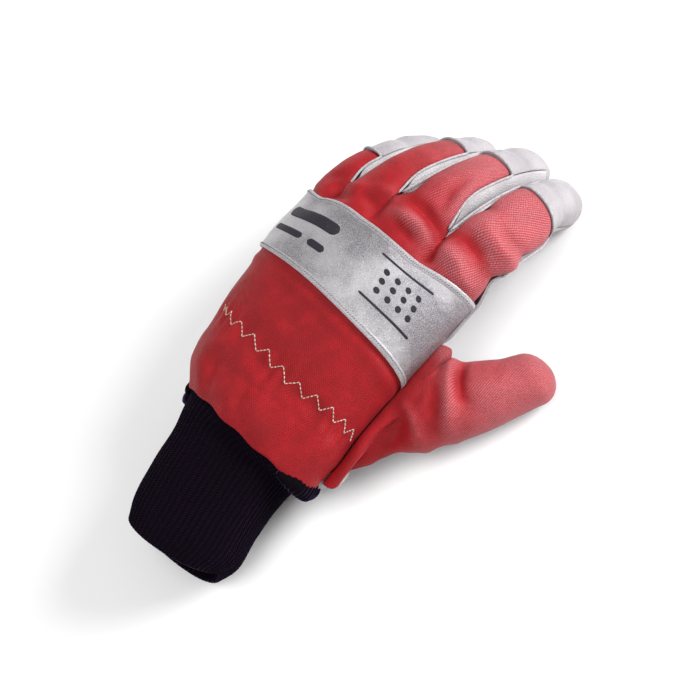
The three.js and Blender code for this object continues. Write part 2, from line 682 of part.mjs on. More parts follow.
// Leather fingertip: a dome all round, with a tongue on the back that meets the red cloth
function fingertipCap(finger) {
  const sheet = new Sheet();
  const start = capStart(finger) + halfGap / finger.length;
  const tongueStart = finger.red + halfGap / finger.length;
  const inset = THREE.MathUtils.radToDeg(halfGap / finger.halfDepth);
  const from = finger.backRight + inset;
  const to = finger.backLeft - inset;
  const tongueSteps = Math.round((CAP_RING_STEPS * (to - from)) / FULL_TURN);
  const restSteps = CAP_RING_STEPS - tongueSteps;
  const angleAt = (k) => {
    if (k <= tongueSteps) return lerp(from, to, k / tongueSteps);
    return lerp(to, from + FULL_TURN, (k - tongueSteps) / restSteps);
  };
  const vertexAt = (name, share, k) => sheet.vertex(name, () => {
    const inward = tubeInward(finger, share, angleAt(k));
    return layer(tube(finger, share, angleAt(k)), inward, LEATHER_WALL);
  });
  const ring = (row, column) => {
    const share = lerp(start, 1, CAP_DOME_ROWS[row]);
    const k = column % CAP_RING_STEPS;
    if (row === CAP_DOME_ROWS.length - 1) return vertexAt("pole", 1, 0);
    return vertexAt(`ring ${row} ${k}`, share, k);
  };
  sheet.grid(CAP_DOME_ROWS.length - 1, CAP_RING_STEPS, ring);
  const tongueRows = Math.max(2, Math.round((start - tongueStart) * FINGER_ROWS));
  sheet.grid(tongueRows, tongueSteps, (row, k) => {
    if (row === tongueRows) return ring(0, k);
    return vertexAt(`tongue ${row} ${k}`, lerp(tongueStart, start, row / tongueRows), k);
  });
  return sheet.geometry();
}

// Thumb

function loopPoint(turn) {
  const isBack = turn <= 0.5;
  const v = lerp(THUMB_FROM, THUMB_TO, isBack ? turn * 2 : 2 - turn * 2);
  const drop = isBack ? 0 : thumbDrop(v);
  const point = sideSeam(v).right;
  point.x -= LOOP_LEAN * drop;
  point.z -= drop;
  point.y = handY(1, v);
  return point;
}

function thumbSpine(share) {
  const tipHeight = THUMB_DEPTH / 2 - FLATTENING;
  const root = vector(THUMB_ROOT.x * HAND_WIDTH, THUMB_ROOT.y * HAND_LENGTH, THUMB_ROOT.z * HAND_HEIGHT);
  return vector(
    root.x + along(THUMB_SECTIONS, "out", share) * THUMB_LENGTH,
    root.y + along(THUMB_SECTIONS, "along", share) * THUMB_LENGTH,
    lerp(root.z, tipHeight, along(THUMB_SECTIONS, "fall", share)),
  );
}

function thumbRing(share, turn) {
  const past = clamp((share - 1 + THUMB_DOME) / THUMB_DOME, 0, 1);
  const girth = Math.sqrt(Math.max(1 - past * past, 0));
  const yaw = radians(along(THUMB_SECTIONS, "yaw", share));
  const around = superellipse(Math.PI * (1 - 2 * turn), SOFT_ROUNDNESS);
  const width = (along(THUMB_SECTIONS, "width", share) * THUMB_WIDTH * girth) / 2;
  const depth = (along(THUMB_SECTIONS, "depth", share) * THUMB_DEPTH * girth) / 2;
  const point = thumbSpine(share);
  point.add(vector(-Math.cos(yaw), Math.sin(yaw), 0).multiplyScalar(width * around.across));
  point.z += depth * around.up;
  return point;
}

function thumbPoint(share, turn) {
  const point = thumbRing(share, turn);
  const change = loopPoint(turn).sub(thumbRing(0, turn));
  point.addScaledVector(change, 1 - smooth(0, THUMB_FREE, share));
  const onBack = turn < 0.5 ? Math.sin(2 * Math.PI * turn) : 0;
  point.z += SEAM_FOLD * onBack * Math.sin(Math.PI * clamp(share / THUMB_FOLD, 0, 1));
  return point;
}

function thumbInward(share, turn) {
  const tip = thumbSpine(1).sub(thumbSpine(0.9)).normalize();
  const v = lerp(THUMB_FROM, THUMB_TO, turn <= 0.5 ? turn * 2 : 2 - turn * 2);
  const fromSurface = normalOf(thumbPoint, clamp(share, 0.02, 1), turn, tip).negate();
  const toSpine = thumbSpine(share).sub(thumbPoint(share, turn)).normalize();
  const fromSeam = 0.25 - Math.abs(0.25 - (turn % 0.5));
  const inward = mix(toSpine, fromSurface, smooth(0, 0.14, fromSeam));
  return mix(loopInward(v, turn <= 0.5), inward, smooth(0, 0.22, share)).normalize();
}

function thumbHalf(isBack, wall) {
  const sheet = new Sheet();
  const turns = loopRows.map((v) => thumbShare(v) / 2);
  const ordered = isBack ? turns : turns.map((turn) => 1 - turn);
  const insetShare = (1.5 * halfGap) / THUMB_LENGTH;
  sheet.grid(THUMB_ROWS.length - 1, ordered.length - 1, (row, k) => {
    const isPole = row === THUMB_ROWS.length - 1;
    const name = isPole ? "pole" : `${row} ${k}`;
    return sheet.vertex(name, () => {
      const share = Math.max(THUMB_ROWS[row], insetShare);
      const girth = Math.PI * THUMB_WIDTH * lerp(THUMB_BASE_GIRTH, THUMB_TIP_GIRTH, share);
      const edge = (halfGap / girth) * lerp(4, 1, smooth(0, 0.15, share));
      const turn = isBack ? clamp(ordered[k], edge, 0.5 - edge) : clamp(ordered[k], 0.5 + edge, 1 - edge);
      return layer(thumbPoint(share, turn), thumbInward(share, turn), wall);
    });
  });
  return sheet.geometry();
}

// Cuff

// Girth share: first half over the back from the little-finger side, second half back under the palm
function cuffSide(turn) {
  const isBack = turn <= 0.5;
  return { isBack, u: isBack ? turn * 2 : 2 - turn * 2 };
}

function cuffRing(share, turn) {
  const { isBack, u } = cuffSide(turn);
  const arc = softArc(u);
  const halfDepth = (along(CUFF_SECTIONS, "depth", share) * CUFF_DEPTH) / 2;
  const halfWidth = (along(CUFF_SECTIONS, "width", share) * CUFF_WIDTH) / 2;
  const bulge = CUFF_END_BULGE * arc.up * (1 - smooth(0, 0.6, share));
  return vector(
    along(CUFF_SECTIONS, "x", share) * HAND_WIDTH + halfWidth * arc.across,
    lerp(-CUFF_LENGTH, handY(u, 0), share) - bulge,
    CUFF_DEPTH / 2 - FLATTENING / 3 + (isBack ? 1 : -1) * halfDepth * arc.up,
  );
}

// Inside of the wrist opening, where the knit is tucked in
function tuckedPoint(depth, turn) {
  const { isBack, u } = cuffSide(turn);
  const edge = clamp(u, girthInset, 1 - girthInset);
  const v = depth / HAND_LENGTH;
  const wall = Math.max(isBack ? backWall(edge, v) : LEATHER_WALL, SEAM_WALL);
  const skin = layer(handPoint(edge, v, isBack), handInward(edge, v, isBack), wall + CUFF_GAP);
  return skin.inner;
}

function wristCuff() {
  const sheet = new Sheet();
  const girth = Math.PI * (CUFF_WIDTH + CUFF_DEPTH) / 2;
  const ribs = 2 * Math.round(girth / RIB_PITCH / 2);
  const around = 2 * ribs;
  const tuckRows = [0, CUFF_TUCK];
  const rowCount = CUFF_ROWS.length + tuckRows.length;
  const outerAt = (row, turn) => {
    if (row >= CUFF_ROWS.length) return tuckedPoint(tuckRows[row - CUFF_ROWS.length], turn);
    const share = CUFF_ROWS[row];
    const ring = cuffRing(share, turn);
    return ring.lerp(tuckedPoint(0, turn).setY(ring.y), smooth(0.85, 1, share));
  };
  const middle = (row) => mix(outerAt(row, 0), outerAt(row, 0.5), 0.5);
  sheet.grid(rowCount - 1, around, (row, column) => {
    const k = column % around;
    return sheet.vertex(`${row} ${k}`, () => {
      const turn = k / around;
      const point = outerAt(row, turn);
      const toMiddle = middle(row).setY(point.y).sub(point);
      toMiddle.x *= 0.5;
      toMiddle.normalize();
      const groove = k % 2 === 0 ? 0 : RIB_DEPTH;
      const outer = point.clone().addScaledVector(toMiddle, groove);
      return rested(outer, point.addScaledVector(toMiddle, KNIT_WALL + RIB_DEPTH / 2), KNIT_WALL);
    });
  });
  return sheet.geometry();
}

// Reflective band over the back, a layer on top of it
function reflectiveBand() {
  const sheet = new Sheet();
  const inset = BAND_SHORTFALL / backGirth;
  const columns = handColumns(BACK_STEPS_PER_FINGER).map((u) => clamp(u, inset, 1 - inset));
  sheet.grid(BAND_ROWS, columns.length - 1, (row, column) => sheet.vertex(`${row} ${column}`, () => {
    const u = columns[column];
    const v = lerp(along(BAND_EDGES, "low", u), along(BAND_EDGES, "high", u), row / BAND_ROWS);
    const point = handPoint(u, v, true);
    const inward = handInward(u, v, true);
    const outer = point.clone().addScaledVector(inward, -LAYER_GAP - BAND_WALL);
    return { outer, inner: point.addScaledVector(inward, -LAYER_GAP) };
  }));
  return sheet.geometry();
}

// Welt round a finger's red back: out along one seam, round the red end, and back along the other
function fingerWelt(i) {
  const finger = FINGERS[i];
  const path = [];
  const lift = WELT_RADIUS + LAYER_GAP;
  const firstShare = WELT_START / finger.length;
  const add = (share, across) => {
    const inward = rowInward(i, across, true, share);
    path.push(fingerPoint(i, share, across, true).addScaledVector(inward, -lift));
  };
  for (let k = 0; k <= WELT_ROWS; k += 1) add(lerp(firstShare, finger.red, k / WELT_ROWS), 0);
  for (let k = 1; k < WELT_END_STEPS; k += 1) add(finger.red, k / WELT_END_STEPS);
  for (let k = WELT_ROWS; k >= 0; k -= 1) add(lerp(firstShare, finger.red, k / WELT_ROWS), 1);
  return sweep(path, WELT_RADIUS, WELT_SIDES, onSpine(finger, finger.red / 2));
}

// Round bar along a list of points, its sections turned toward a centre so that they don't twist
function sweep(path, radius, sides, centre) {
  const points = [];
  const faces = [];
  path.forEach((point, i) => {
    const before = path[Math.max(i - 1, 0)];
    const after = path[Math.min(i + 1, path.length - 1)];
    const ahead = after.clone().sub(before).normalize();
    const outward = point.clone().sub(centre);
    outward.addScaledVector(ahead, -outward.dot(ahead)).normalize();
    const across = ahead.clone().cross(outward);
    for (let k = 0; k < sides; k += 1) {
      const angle = (2 * Math.PI * (k + 0.5)) / sides;
      const corner = point.clone().addScaledVector(outward, radius * Math.cos(angle));
      points.push(corner.addScaledVector(across, radius * Math.sin(angle)));
    }
  });
  const at = (i, k) => i * sides + (k % sides);
  for (let i = 0; i < path.length - 1; i += 1) {
    for (let k = 0; k < sides; k += 1) {
      faces.push([at(i, k), at(i, k + 1), at(i + 1, k + 1)]);
      faces.push([at(i, k), at(i + 1, k + 1), at(i + 1, k)]);
    }
  }
  for (let k = 1; k < sides - 1; k += 1) {
    faces.push([at(0, 0), at(0, k + 1), at(0, k)]);
    faces.push([at(path.length - 1, 0), at(path.length - 1, k), at(path.length - 1, k + 1)]);
  }
  return closedGeometry(points, faces);
}

const redCloth = { color: 0xb5222f, roughness: 0.85, metalness: 0 };
const silverCloth = { color: 0xb9b5bf, roughness: 0.45, metalness: 0.2 };
const whiteLeather = { color: 0xcfc9cd, roughness: 0.6, metalness: 0 };
const darkKnit = { color: 0x1a1228, roughness: 0.9, metalness: 0 };
const whiteWelt = { color: 0xdcd8da, roughness: 0.7, metalness: 0 };

const group = new THREE.Group();

function add(name, geometry, look) {
  const mesh = new THREE.Mesh(geometry, new THREE.MeshStandardMaterial(look));
  mesh.name = name;
  group.add(mesh);
}

add("back_panel", backPanel(), redCloth);
add("palm_panel", palmPanel(), whiteLeather);
add("reflective_band", reflectiveBand(), silverCloth);
add("thumb_back", thumbHalf(true, SEAM_WALL), redCloth);
add("thumb_palm", thumbHalf(false, LEATHER_WALL), whiteLeather);
add("wrist_cuff", wristCuff(), darkKnit);
FINGERS.forEach((finger, i) => {
  add(`fingertip_cap_${finger.name}`, fingertipCap(finger), whiteLeather);
  add(`welt_${finger.name}`, fingerWelt(i), whiteWelt);
  const next = FINGERS[i + 1];
  if (next) add(`fourchette_${finger.name}_${next.name}`, fourchette(i), whiteLeather);
});

// The middle of the glove's outline on the ground is the origin
const bounds = new THREE.Box3().setFromObject(group);
const centre = bounds.getCenter(new THREE.Vector3());
group.position.set(-centre.x, -centre.y, -bounds.min.z);

export default group;
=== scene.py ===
"""Looks of a chainsaw glove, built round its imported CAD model.

The shape functions work in millimetres, in the frame of the CAD source: X toward the thumb,
Y along the fingers, Z up. place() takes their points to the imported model's metres.
"""
import math

import bpy
import numpy as np
from mathutils import Matrix


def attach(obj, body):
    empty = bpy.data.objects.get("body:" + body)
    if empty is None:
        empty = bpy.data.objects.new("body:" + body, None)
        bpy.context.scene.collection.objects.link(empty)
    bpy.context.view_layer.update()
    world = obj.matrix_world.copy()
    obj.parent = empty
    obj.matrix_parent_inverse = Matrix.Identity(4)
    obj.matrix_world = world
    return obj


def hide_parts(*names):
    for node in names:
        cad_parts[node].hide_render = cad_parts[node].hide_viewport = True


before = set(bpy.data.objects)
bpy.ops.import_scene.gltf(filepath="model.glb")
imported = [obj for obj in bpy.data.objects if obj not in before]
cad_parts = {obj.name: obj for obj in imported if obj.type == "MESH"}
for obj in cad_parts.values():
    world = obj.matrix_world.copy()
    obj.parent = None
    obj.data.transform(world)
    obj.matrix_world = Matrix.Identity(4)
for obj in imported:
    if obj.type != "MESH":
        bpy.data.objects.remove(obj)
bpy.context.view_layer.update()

MM = 0.001
SHIFT = np.array([-24.427, -60.133, 0.0])  # from the CAD source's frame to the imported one

# Sizes of the CAD source
HAND_LENGTH = 125
HAND_WIDTH = 100
HAND_HEIGHT = 50
WRIST_SLANT = 5
FINGER_DEPTH = 25
FINGER_CLEARANCE = 0.6
THUMB_LENGTH = 79
THUMB_WIDTH = 25
THUMB_DEPTH = 24
THUMB_LOOP_DROP = 20
CAP_LENGTH = 11
CUFF_LENGTH = 62
CUFF_WIDTH = 65
CUFF_DEPTH = 41
CUFF_END_BULGE = 8
CUFF_TUCK = 6
BACK_WALL = 4
SEAM_WALL = 2
LEATHER_WALL = 1.6
KNIT_WALL = 2.2
BAND_WALL = 1
SEAM_GAP = 0.4
CUFF_GAP = 1.2
LAYER_GAP = 0.35
FLATTENING = 1.5
GATHER_DEPTH = 1.6
GATHER_WIDTH = 9
HEM_BULGE = 1.8
HAND_ROUNDNESS = 2.3
FINGER_ROUNDNESS = 2.3
SOFT_ROUNDNESS = 2.2
FINGER_TAPER = 0.12
FINGER_BLEND = 16
STEEPEST_FINGER = 85
ROUND_END = 0.95  # length of a fingertip's dome as a share of the finger's half width
CROTCH_TURN = 0.3  # share of a finger's width over which the wall's direction turns vertical at a crotch
CROTCH_TUCK = 0.6  # a strip starts this much farther from the seam where two fingers meet
STRIP_BLEND = 1.3  # the strips need this many times the fingers' blend
STRIP_TURN = 8  # stretch over which a strip's wall turns from the crotch to the finger's side
PUFF_SHARE = 0.14  # share of the hand's length that the puffed edge at the wrist takes
GATHER_SPAN = (0.12, 0.28, 0.88, 0.97)  # shares of the girth where the elastic rises, is full, fades, ends
ROW_BLEND_FROM = 0.58  # the hand's section turns into the fingers' row
ROW_BLEND_POWER = 1.3
WALL_BLEND_FROM = 0.75  # the walls' direction does the same
LOOP_WALL_FROM = 0.9  # the walls turn toward the thumb's loop
LOOP_LEAN = 0.1  # how far the loop's lower edge moves in for each millimetre that it hangs down
LOOP_FLATTENING = 0.35  # how much the palm's sag lessens for each millimetre of that drop
LOOP_SQUARENESS = 0.8  # below 1, the drop is nearly full along more of the loop
SIDE_THINNING = 0.14  # the padding thins toward the side seams
WRIST_THINNING = 0.12  # over this share of the hand's length from the wrist
ROW_THINNING = 0.8  # and from here on toward the fingers
THUMB_FREE = 0.55  # share of the thumb after which it has its own section
THUMB_BASE_GIRTH = 2.8  # girth at the base and at the tip, in thumb widths times pi
THUMB_TIP_GIRTH = 0.8
SPINE_SAMPLES = 200
BEND_TRIES = 16
ARC_SAMPLES = 2400
FULL_TURN = 360  # degrees
NEAR_TIP = 0.9995  # wall directions are taken this near a tip, where the surface closes
NEAR_SEAM = 0.003  # and the wrist's outline this near its side seams, in shares of its girth

HAND_SECTIONS = {
    "at": [0, 0.12, 0.3, 0.55, 0.78, 1],
    "left": [-0.46, -0.53, -0.54, -0.53, -0.51, -0.5],
    "right": [0.38, 0.41, 0.44, 0.49, 0.54, 0.58],
    "left_seam": [0.44, 0.46, 0.52, 0.6, 0.64, 0.58],
    "right_seam": [0.4, 0.46, 0.54, 0.64, 0.76, 0.82],
    "dome": [0.5, 0.54, 0.56, 0.54, 0.52, 0.42],
    "belly": [0.45, 0.5, 0.55, 0.48, 0.44, 0.36],
}
FINGERS = [
    dict(name="pinky", length=67, x=-0.38, y=0.936, z=0.7, width=0.238, depth=0.92, heading=16.5,
         slope=0, roll=-33, back=(188, 32), front=(188, 320), red=0.36),
    dict(name="ring", length=75, x=-0.133, y=0.992, z=0.92, width=0.262, depth=0.96, heading=13.5,
         slope=14, roll=-19, back=(152, 28), front=(215, 325), red=0.62),
    dict(name="middle", length=80, x=0.151, y=1.016, z=1.0, width=0.278, depth=1.0, heading=10,
         slope=15, roll=-2, back=(152, 28), front=(215, 325), red=0.55),
    dict(name="index", length=76, x=0.425, y=0.976, z=0.9, width=0.282, depth=1.0, heading=6.5,
         slope=13, roll=13, back=(150, -8), front=(215, 352), red=0.56),
]
FINGER_SHARES = np.array([0, 0.224, 0.474, 0.733, 1])
CROTCH_ROW = {"at": FINGER_SHARES, "y": [0.912, 0.968, 1.024, 1.008, 0.944]}
THUMB_SECTIONS = {
    "at": [0, 0.35, 0.62, 0.85, 1],
    "out": [0, 0.222, 0.407, 0.556, 0.667],
    "ahead": [0, 0.185, 0.383, 0.593, 0.753],
    "fall": [0, 0.25, 0.58, 0.83, 1],
    "width": [2.45, 1.7, 1.36, 1.08, 1],
    "depth": [0.92, 1.17, 1.21, 1.08, 1],
    "yaw": [62, 50, 42, 33, 28],
}
THUMB_FROM = 0.03
THUMB_TO = 0.7
THUMB_ROOT = (0.44, 0.345, 0.48)
THUMB_DOME = 0.1
CUFF_SECTIONS = {
    "at": [0, 0.1, 0.4, 0.7, 0.9, 1],
    "x": [-0.04, -0.042, -0.062, -0.07, -0.075, -0.06],
    "width": [0.85, 0.95, 1.0, 1.02, 1.09, 1.13],
    "depth": [0.94, 0.98, 0.98, 1.0, 1.02, 1.03],
}
BAND_EDGES = {
    "at": [0, 0.35, 0.62, 1],
    "low": [0.67, 0.59, 0.53, 0.49],
    "high": [0.93, 0.89, 0.855, 0.885],
}
GATHER_LINE = {"at": [0, 0.25, 0.6, 1], "height": [0.42, 0.34, 0.235, 0.2]}


def vec(x, y, z):
    return np.stack(np.broadcast_arrays(x, y, z), -1).astype(float)


def dot(a, b):
    return (a * b).sum(-1)


def unit(a):
    return a / np.maximum(np.linalg.norm(a, axis=-1, keepdims=True), 1e-12)


def lerp(a, b, share):
    return a + (b - a) * share


def mix(a, b, share):
    return a + (b - a) * np.asarray(share, float)[..., None]


def smooth(low, high, x):
    t = np.clip((np.asarray(x, float) - low) / (high - low), 0, 1)
    return t * t * (3 - 2 * t)


def together(*values):
    """Arrays of numbers, spread to one shape."""
    return np.broadcast_arrays(*[np.asarray(value, float) for value in values])


def hump(x, width):
    """1 at x = 0, falling off within about a width."""
    return np.exp(-(x / width) ** 2)


def arch(x):
    """0 at 0 and at 1, 1 halfway."""
    return np.sin(math.pi * np.clip(x, 0, 1))


def folded(turn):
    """0 to 1 and back to 0 as turn goes from 0 to 1."""
    return np.where(turn <= 0.5, turn * 2, 2 - turn * 2)


def along(rows, column, share):
    """Smooth curve through a table's column."""
    xs = np.array(rows["at"], float)
    ys = np.array(rows[column], float)
    slopes = np.gradient(ys, xs)
    t = np.clip(np.asarray(share, float), xs[0], xs[-1])
    i = np.clip(np.searchsorted(xs, t, side="right") - 1, 0, len(xs) - 2)
    step = xs[i + 1] - xs[i]
    x = (t - xs[i]) / step
    leave = x * (1 - x) ** 2 * step * slopes[i]
    arrive = x * x * (1 - x) * step * slopes[i + 1]
    return lerp(ys[i], ys[i + 1], x * x * (3 - 2 * x)) + leave - arrive


def superellipse(angle, roundness):
    c, s = np.cos(angle), np.sin(angle)
    power = 2 / roundness
    return np.sign(c) * np.abs(c) ** power, np.sign(s) * np.abs(s) ** power


def make_arc(roundness):
    """Half superellipse from its left end over the top, by share of its length."""
    across, up = superellipse(np.linspace(math.pi, 0, ARC_SAMPLES + 1), roundness)
    at = np.r_[0, np.cumsum(np.hypot(np.diff(across), np.diff(up)))]
    return lambda share: (np.interp(share, at / at[-1], across), np.interp(share, at / at[-1], up))


hand_arc = make_arc(HAND_ROUNDNESS)
soft_arc = make_arc(SOFT_ROUNDNESS)


def inward_normal(surface, a, b, step=1e-4):
    """Direction into the tube that surface(a, b) walks along and round."""
    along_a = surface(np.minimum(a + step, 1), b) - surface(np.maximum(a - step, 0), b)
    along_b = surface(a, b + step) - surface(a, b - step)
    return -unit(np.cross(along_a, along_b))


# Hand

def thumb_share(v):
    return np.clip((v - THUMB_FROM) / (THUMB_TO - THUMB_FROM), 0, 1)


def thumb_drop(v):
    return THUMB_LOOP_DROP * np.abs(np.sin(math.pi * thumb_share(v))) ** LOOP_SQUARENESS


def hand_y(u, v):
    return lerp(-WRIST_SLANT * u, along(CROTCH_ROW, "y", u) * HAND_LENGTH, v)


def side_seam(v):
    """Points of the left and the right side seam, in the plane of the section."""
    ends = []
    for side in ("left", "right"):
        height = along(HAND_SECTIONS, side + "_seam", v) * HAND_HEIGHT
        ends.append(vec(along(HAND_SECTIONS, side, v) * HAND_WIDTH, 0, height))
    return ends


def back_relief(u, v):
    hem = HEM_BULGE * arch(v / PUFF_SHARE)
    away = (v - along(GATHER_LINE, "height", u)) * HAND_LENGTH / GATHER_WIDTH
    rise, full, fade, end = GATHER_SPAN
    inside = smooth(rise, full, u) * (1 - smooth(fade, end, u))
    return hem - GATHER_DEPTH * inside * np.exp(-away * away)


def hand_section(u, v, is_back):
    left, right = side_seam(v)
    drop = 0 * v if is_back else thumb_drop(v)
    right = right - vec(LOOP_LEAN * drop, 0, drop)
    middle = (left + right) / 2
    half = (right - left) / 2
    chord = unit(half)
    up = vec(-chord[..., 2], 0, chord[..., 0])
    if is_back:
        height = along(HAND_SECTIONS, "dome", v) * HAND_HEIGHT + back_relief(u, v)
    else:
        height = LOOP_FLATTENING * drop - along(HAND_SECTIONS, "belly", v) * HAND_HEIGHT
    across, rise = hand_arc(u)
    point = middle + half * across[..., None] + up * (height * rise)[..., None]
    point[..., 1] = hand_y(u, v)
    power = HAND_ROUNDNESS - 1
    side = -np.sign(across) * np.abs(across) ** power / np.linalg.norm(half, axis=-1)
    inward = chord * side[..., None] - up * (rise ** power / height)[..., None]
    return point, unit(inward)


def loop_inward(v, is_back):
    left, right = side_seam(v)
    opened = np.sqrt(np.abs(np.sin(math.pi * thumb_share(v))))
    corner = np.array([-0.7, 0, -0.7] if is_back else [-0.35, 0, 0.94])
    return unit(mix(unit(left - right), corner, opened))


# Fingers

def finger_frame(finger, share):
    heading, roll = math.radians(finger["heading"]), math.radians(finger["roll"])
    slope = np.radians(lerp(finger["slope"], finger["end_slope"], np.asarray(share, float)))
    ahead = vec(math.sin(heading) * np.cos(slope), math.cos(heading) * np.cos(slope), -np.sin(slope))
    level = np.broadcast_to(np.array([math.cos(heading), -math.sin(heading), 0]), ahead.shape)
    upright = np.cross(level, ahead)
    right = level * math.cos(roll) - upright * math.sin(roll)
    up = level * math.sin(roll) + upright * math.cos(roll)
    return ahead, right, up


def on_spine(finger, share):
    at = np.linspace(0, 1, SPINE_SAMPLES + 1)
    share = np.clip(share, 0, 1)
    return np.stack([np.interp(share, at, finger["spine"][:, k]) for k in range(3)], -1)


def tube(finger, share, degrees):
    share, degrees = together(share, degrees)
    turn = np.radians(degrees)
    round_end = finger["half_width"] * ROUND_END / finger["length"]
    past = np.clip((share - 1 + round_end) / round_end, 0, 1)
    girth = (1 - FINGER_TAPER * share) * np.sqrt(np.maximum(1 - past * past, 0))
    ahead, right, up = finger_frame(finger, share)
    across, rise = superellipse(turn, FINGER_ROUNDNESS)
    half_width = finger["half_width"] * girth
    if "bulge" in finger:
        half_width = half_width + finger["bulge"] * np.maximum(np.cos(turn), 0) ** 1.5 * bulge_share(share)
    point = on_spine(finger, share) + right * (half_width * across)[..., None]
    return point + up * (finger["half_depth"] * girth * rise)[..., None]


def bulge_share(share):
    """How far along a finger its side bulges."""
    return smooth(-0.25, 0.12, share) * (1 - smooth(0.42, 0.66, share))


def bend_finger(finger):
    """Bends a finger down until its tip is pressed on the ground."""
    low, high = finger["slope"] + 1, STEEPEST_FINGER
    shares, degrees = np.meshgrid(np.arange(0.7, 1, 0.02), np.arange(180, 361, 15))
    start = [finger["x"] * HAND_WIDTH, finger["y"] * HAND_LENGTH, finger["z"] * HAND_HEIGHT]
    for _ in range(BEND_TRIES):
        finger["end_slope"] = (low + high) / 2
        ahead = finger_frame(finger, (np.arange(SPINE_SAMPLES) + 0.5) / SPINE_SAMPLES)[0]
        steps = np.cumsum(ahead * finger["length"] / SPINE_SAMPLES, 0)
        finger["spine"] = np.vstack([start, start + steps])
        if tube(finger, shares, degrees)[..., 2].min() > -FLATTENING:
            low = finger["end_slope"]
        else:
            high = finger["end_slope"]


INDEX_BULGE = 4.5  # how far the index finger's outer side stands out beyond the plain tube
SEAM_RISE = 13  # degrees by which the other fingers' right seams climb past the crotch

for f in FINGERS:
    f["half_width"] = (f["width"] * HAND_WIDTH - FINGER_CLEARANCE) / 2
    f["half_depth"] = f["depth"] * FINGER_DEPTH / 2
    bend_finger(f)
FINGERS[-1]["bulge"] = INDEX_BULGE
for f in FINGERS[:-1]:
    f["rise"] = SEAM_RISE


def tube_inward(finger, share, degrees):
    def surface(a, b):
        return tube(finger, a, b * FULL_TURN)

    normal = inward_normal(surface, np.minimum(share, NEAR_TIP), np.asarray(degrees, float) / FULL_TURN)
    tip = -finger_frame(finger, 1.0)[0]
    return unit(mix(normal, tip, smooth(0.985, 1, share)))


def crotch_points(side):
    """Seam points where neighbouring fingers meet."""
    points = [tube(FINGERS[0], 0, FINGERS[0][side][0])]
    for one, other in zip(FINGERS, FINGERS[1:]):
        points.append((tube(one, 0, one[side][1]) + tube(other, 0, other[side][0])) / 2)
    points.append(tube(FINGERS[-1], 0, FINGERS[-1][side][1]))
    return points


CROTCHES = {"back": crotch_points("back"), "front": crotch_points("front")}
# Where the cloth's crotches lie apart from the plain tubes' ones, millimetres in plan
CROTCH_SHIFTS = [(-0.6, -3.5), (-1.4, -3.8), (1.4, -6.4)]
for corner, (x, y) in zip(CROTCHES["back"][1:-1], CROTCH_SHIFTS):
    corner += [x, y, 0]


def side_name(is_back):
    return "back" if is_back else "front"


def seams(finger, is_back, share):
    """The two seams' places round a finger, in degrees."""
    start, end = finger[side_name(is_back)]
    rise = finger.get("rise", 0) * smooth(0.04, 0.3, share) if is_back else 0
    return start, end + rise


def finger_girth(finger, is_back):
    """Millimetres from seam to seam at a finger's root."""
    start, end = finger[side_name(is_back)]
    return math.radians(abs(end - start)) * finger["half_width"]


def hand_share(i, across):
    """The share of the hand's girth for a share of a finger's."""
    return lerp(FINGER_SHARES[i], FINGER_SHARES[i + 1], across)


def finger_row(i, across, is_back):
    finger, ends = FINGERS[i], CROTCHES[side_name(is_back)]
    start, end = finger[side_name(is_back)]
    across = np.asarray(across, float)
    point = tube(finger, 0, lerp(start, end, across))
    point = point + (ends[i] - tube(finger, 0, start)) * (1 - across)[..., None]
    return point + (ends[i + 1] - tube(finger, 0, end)) * across[..., None]


def row_inward(i, across, is_back, share):
    finger = FINGERS[i]
    across, share = together(across, share)
    start, end = seams(finger, is_back, share)
    inward = tube_inward(finger, share, lerp(start, end, across))
    near_left = 1 - smooth(0, CROTCH_TURN, across) if i > 0 else 0 * across
    near_right = smooth(1 - CROTCH_TURN, 1, across) if i < len(FINGERS) - 1 else 0 * across
    near = np.maximum(near_left, near_right) * (1 - smooth(0, FINGER_BLEND / finger["length"], share))
    return unit(mix(inward, np.array([0, 0, -1.0 if is_back else 1.0]), near))


def by_finger(u, make):
    """Rows of make(i, across) for the finger that each share of the girth belongs to."""
    found = np.zeros(u.shape + (3,))
    which = np.searchsorted(FINGER_SHARES[1:-1], u, side="left")
    for i in range(len(FINGERS)):
        mask = which == i
        if mask.any():
            across = (u[mask] - FINGER_SHARES[i]) / (FINGER_SHARES[i + 1] - FINGER_SHARES[i])
            found[mask] = make(i, np.clip(across, 0, 1))
    return found


def hand_point(u, v, is_back):
    u, v = together(u, v)
    section = hand_section(u, v, is_back)[0]
    end = hand_section(u, np.ones_like(v), is_back)[0]
    change = by_finger(u, lambda i, across: finger_row(i, across, is_back)) - end
    return section + change * (smooth(ROW_BLEND_FROM, 1, v) ** ROW_BLEND_POWER)[..., None]


def hand_inward(u, v, is_back):
    u, v = together(u, v)
    inward = hand_section(u, v, is_back)[1]
    at_loop = smooth(LOOP_WALL_FROM, 1, u) * ((v > THUMB_FROM) & (v < THUMB_TO))
    inward = unit(mix(inward, loop_inward(v, is_back), at_loop))
    row = by_finger(u, lambda i, across: row_inward(i, across, is_back, 0))
    return unit(mix(inward, row, smooth(WALL_BLEND_FROM, 1, v)))


def back_wall(u, v):
    from_side = smooth(0, SIDE_THINNING, np.minimum(u, 1 - u))
    from_ends = smooth(0, WRIST_THINNING, v) * (1 - smooth(ROW_THINNING, 1, v))
    return lerp(SEAM_WALL, BACK_WALL, from_side * from_ends)


def crotch_fade(finger, share):
    """1 at the crotch row, 0 where the finger has its own shape."""
    return (1 - smooth(0, FINGER_BLEND / finger["length"], share))[..., None]


def finger_point(i, share, across, is_back):
    finger = FINGERS[i]
    share, across = together(share, across)
    change = finger_row(i, across, is_back) - tube(finger, 0, lerp(*finger[side_name(is_back)], across))
    degrees = lerp(*seams(finger, is_back, share), across)
    return tube(finger, share, degrees) + change * crotch_fade(finger, share)


# Thumb

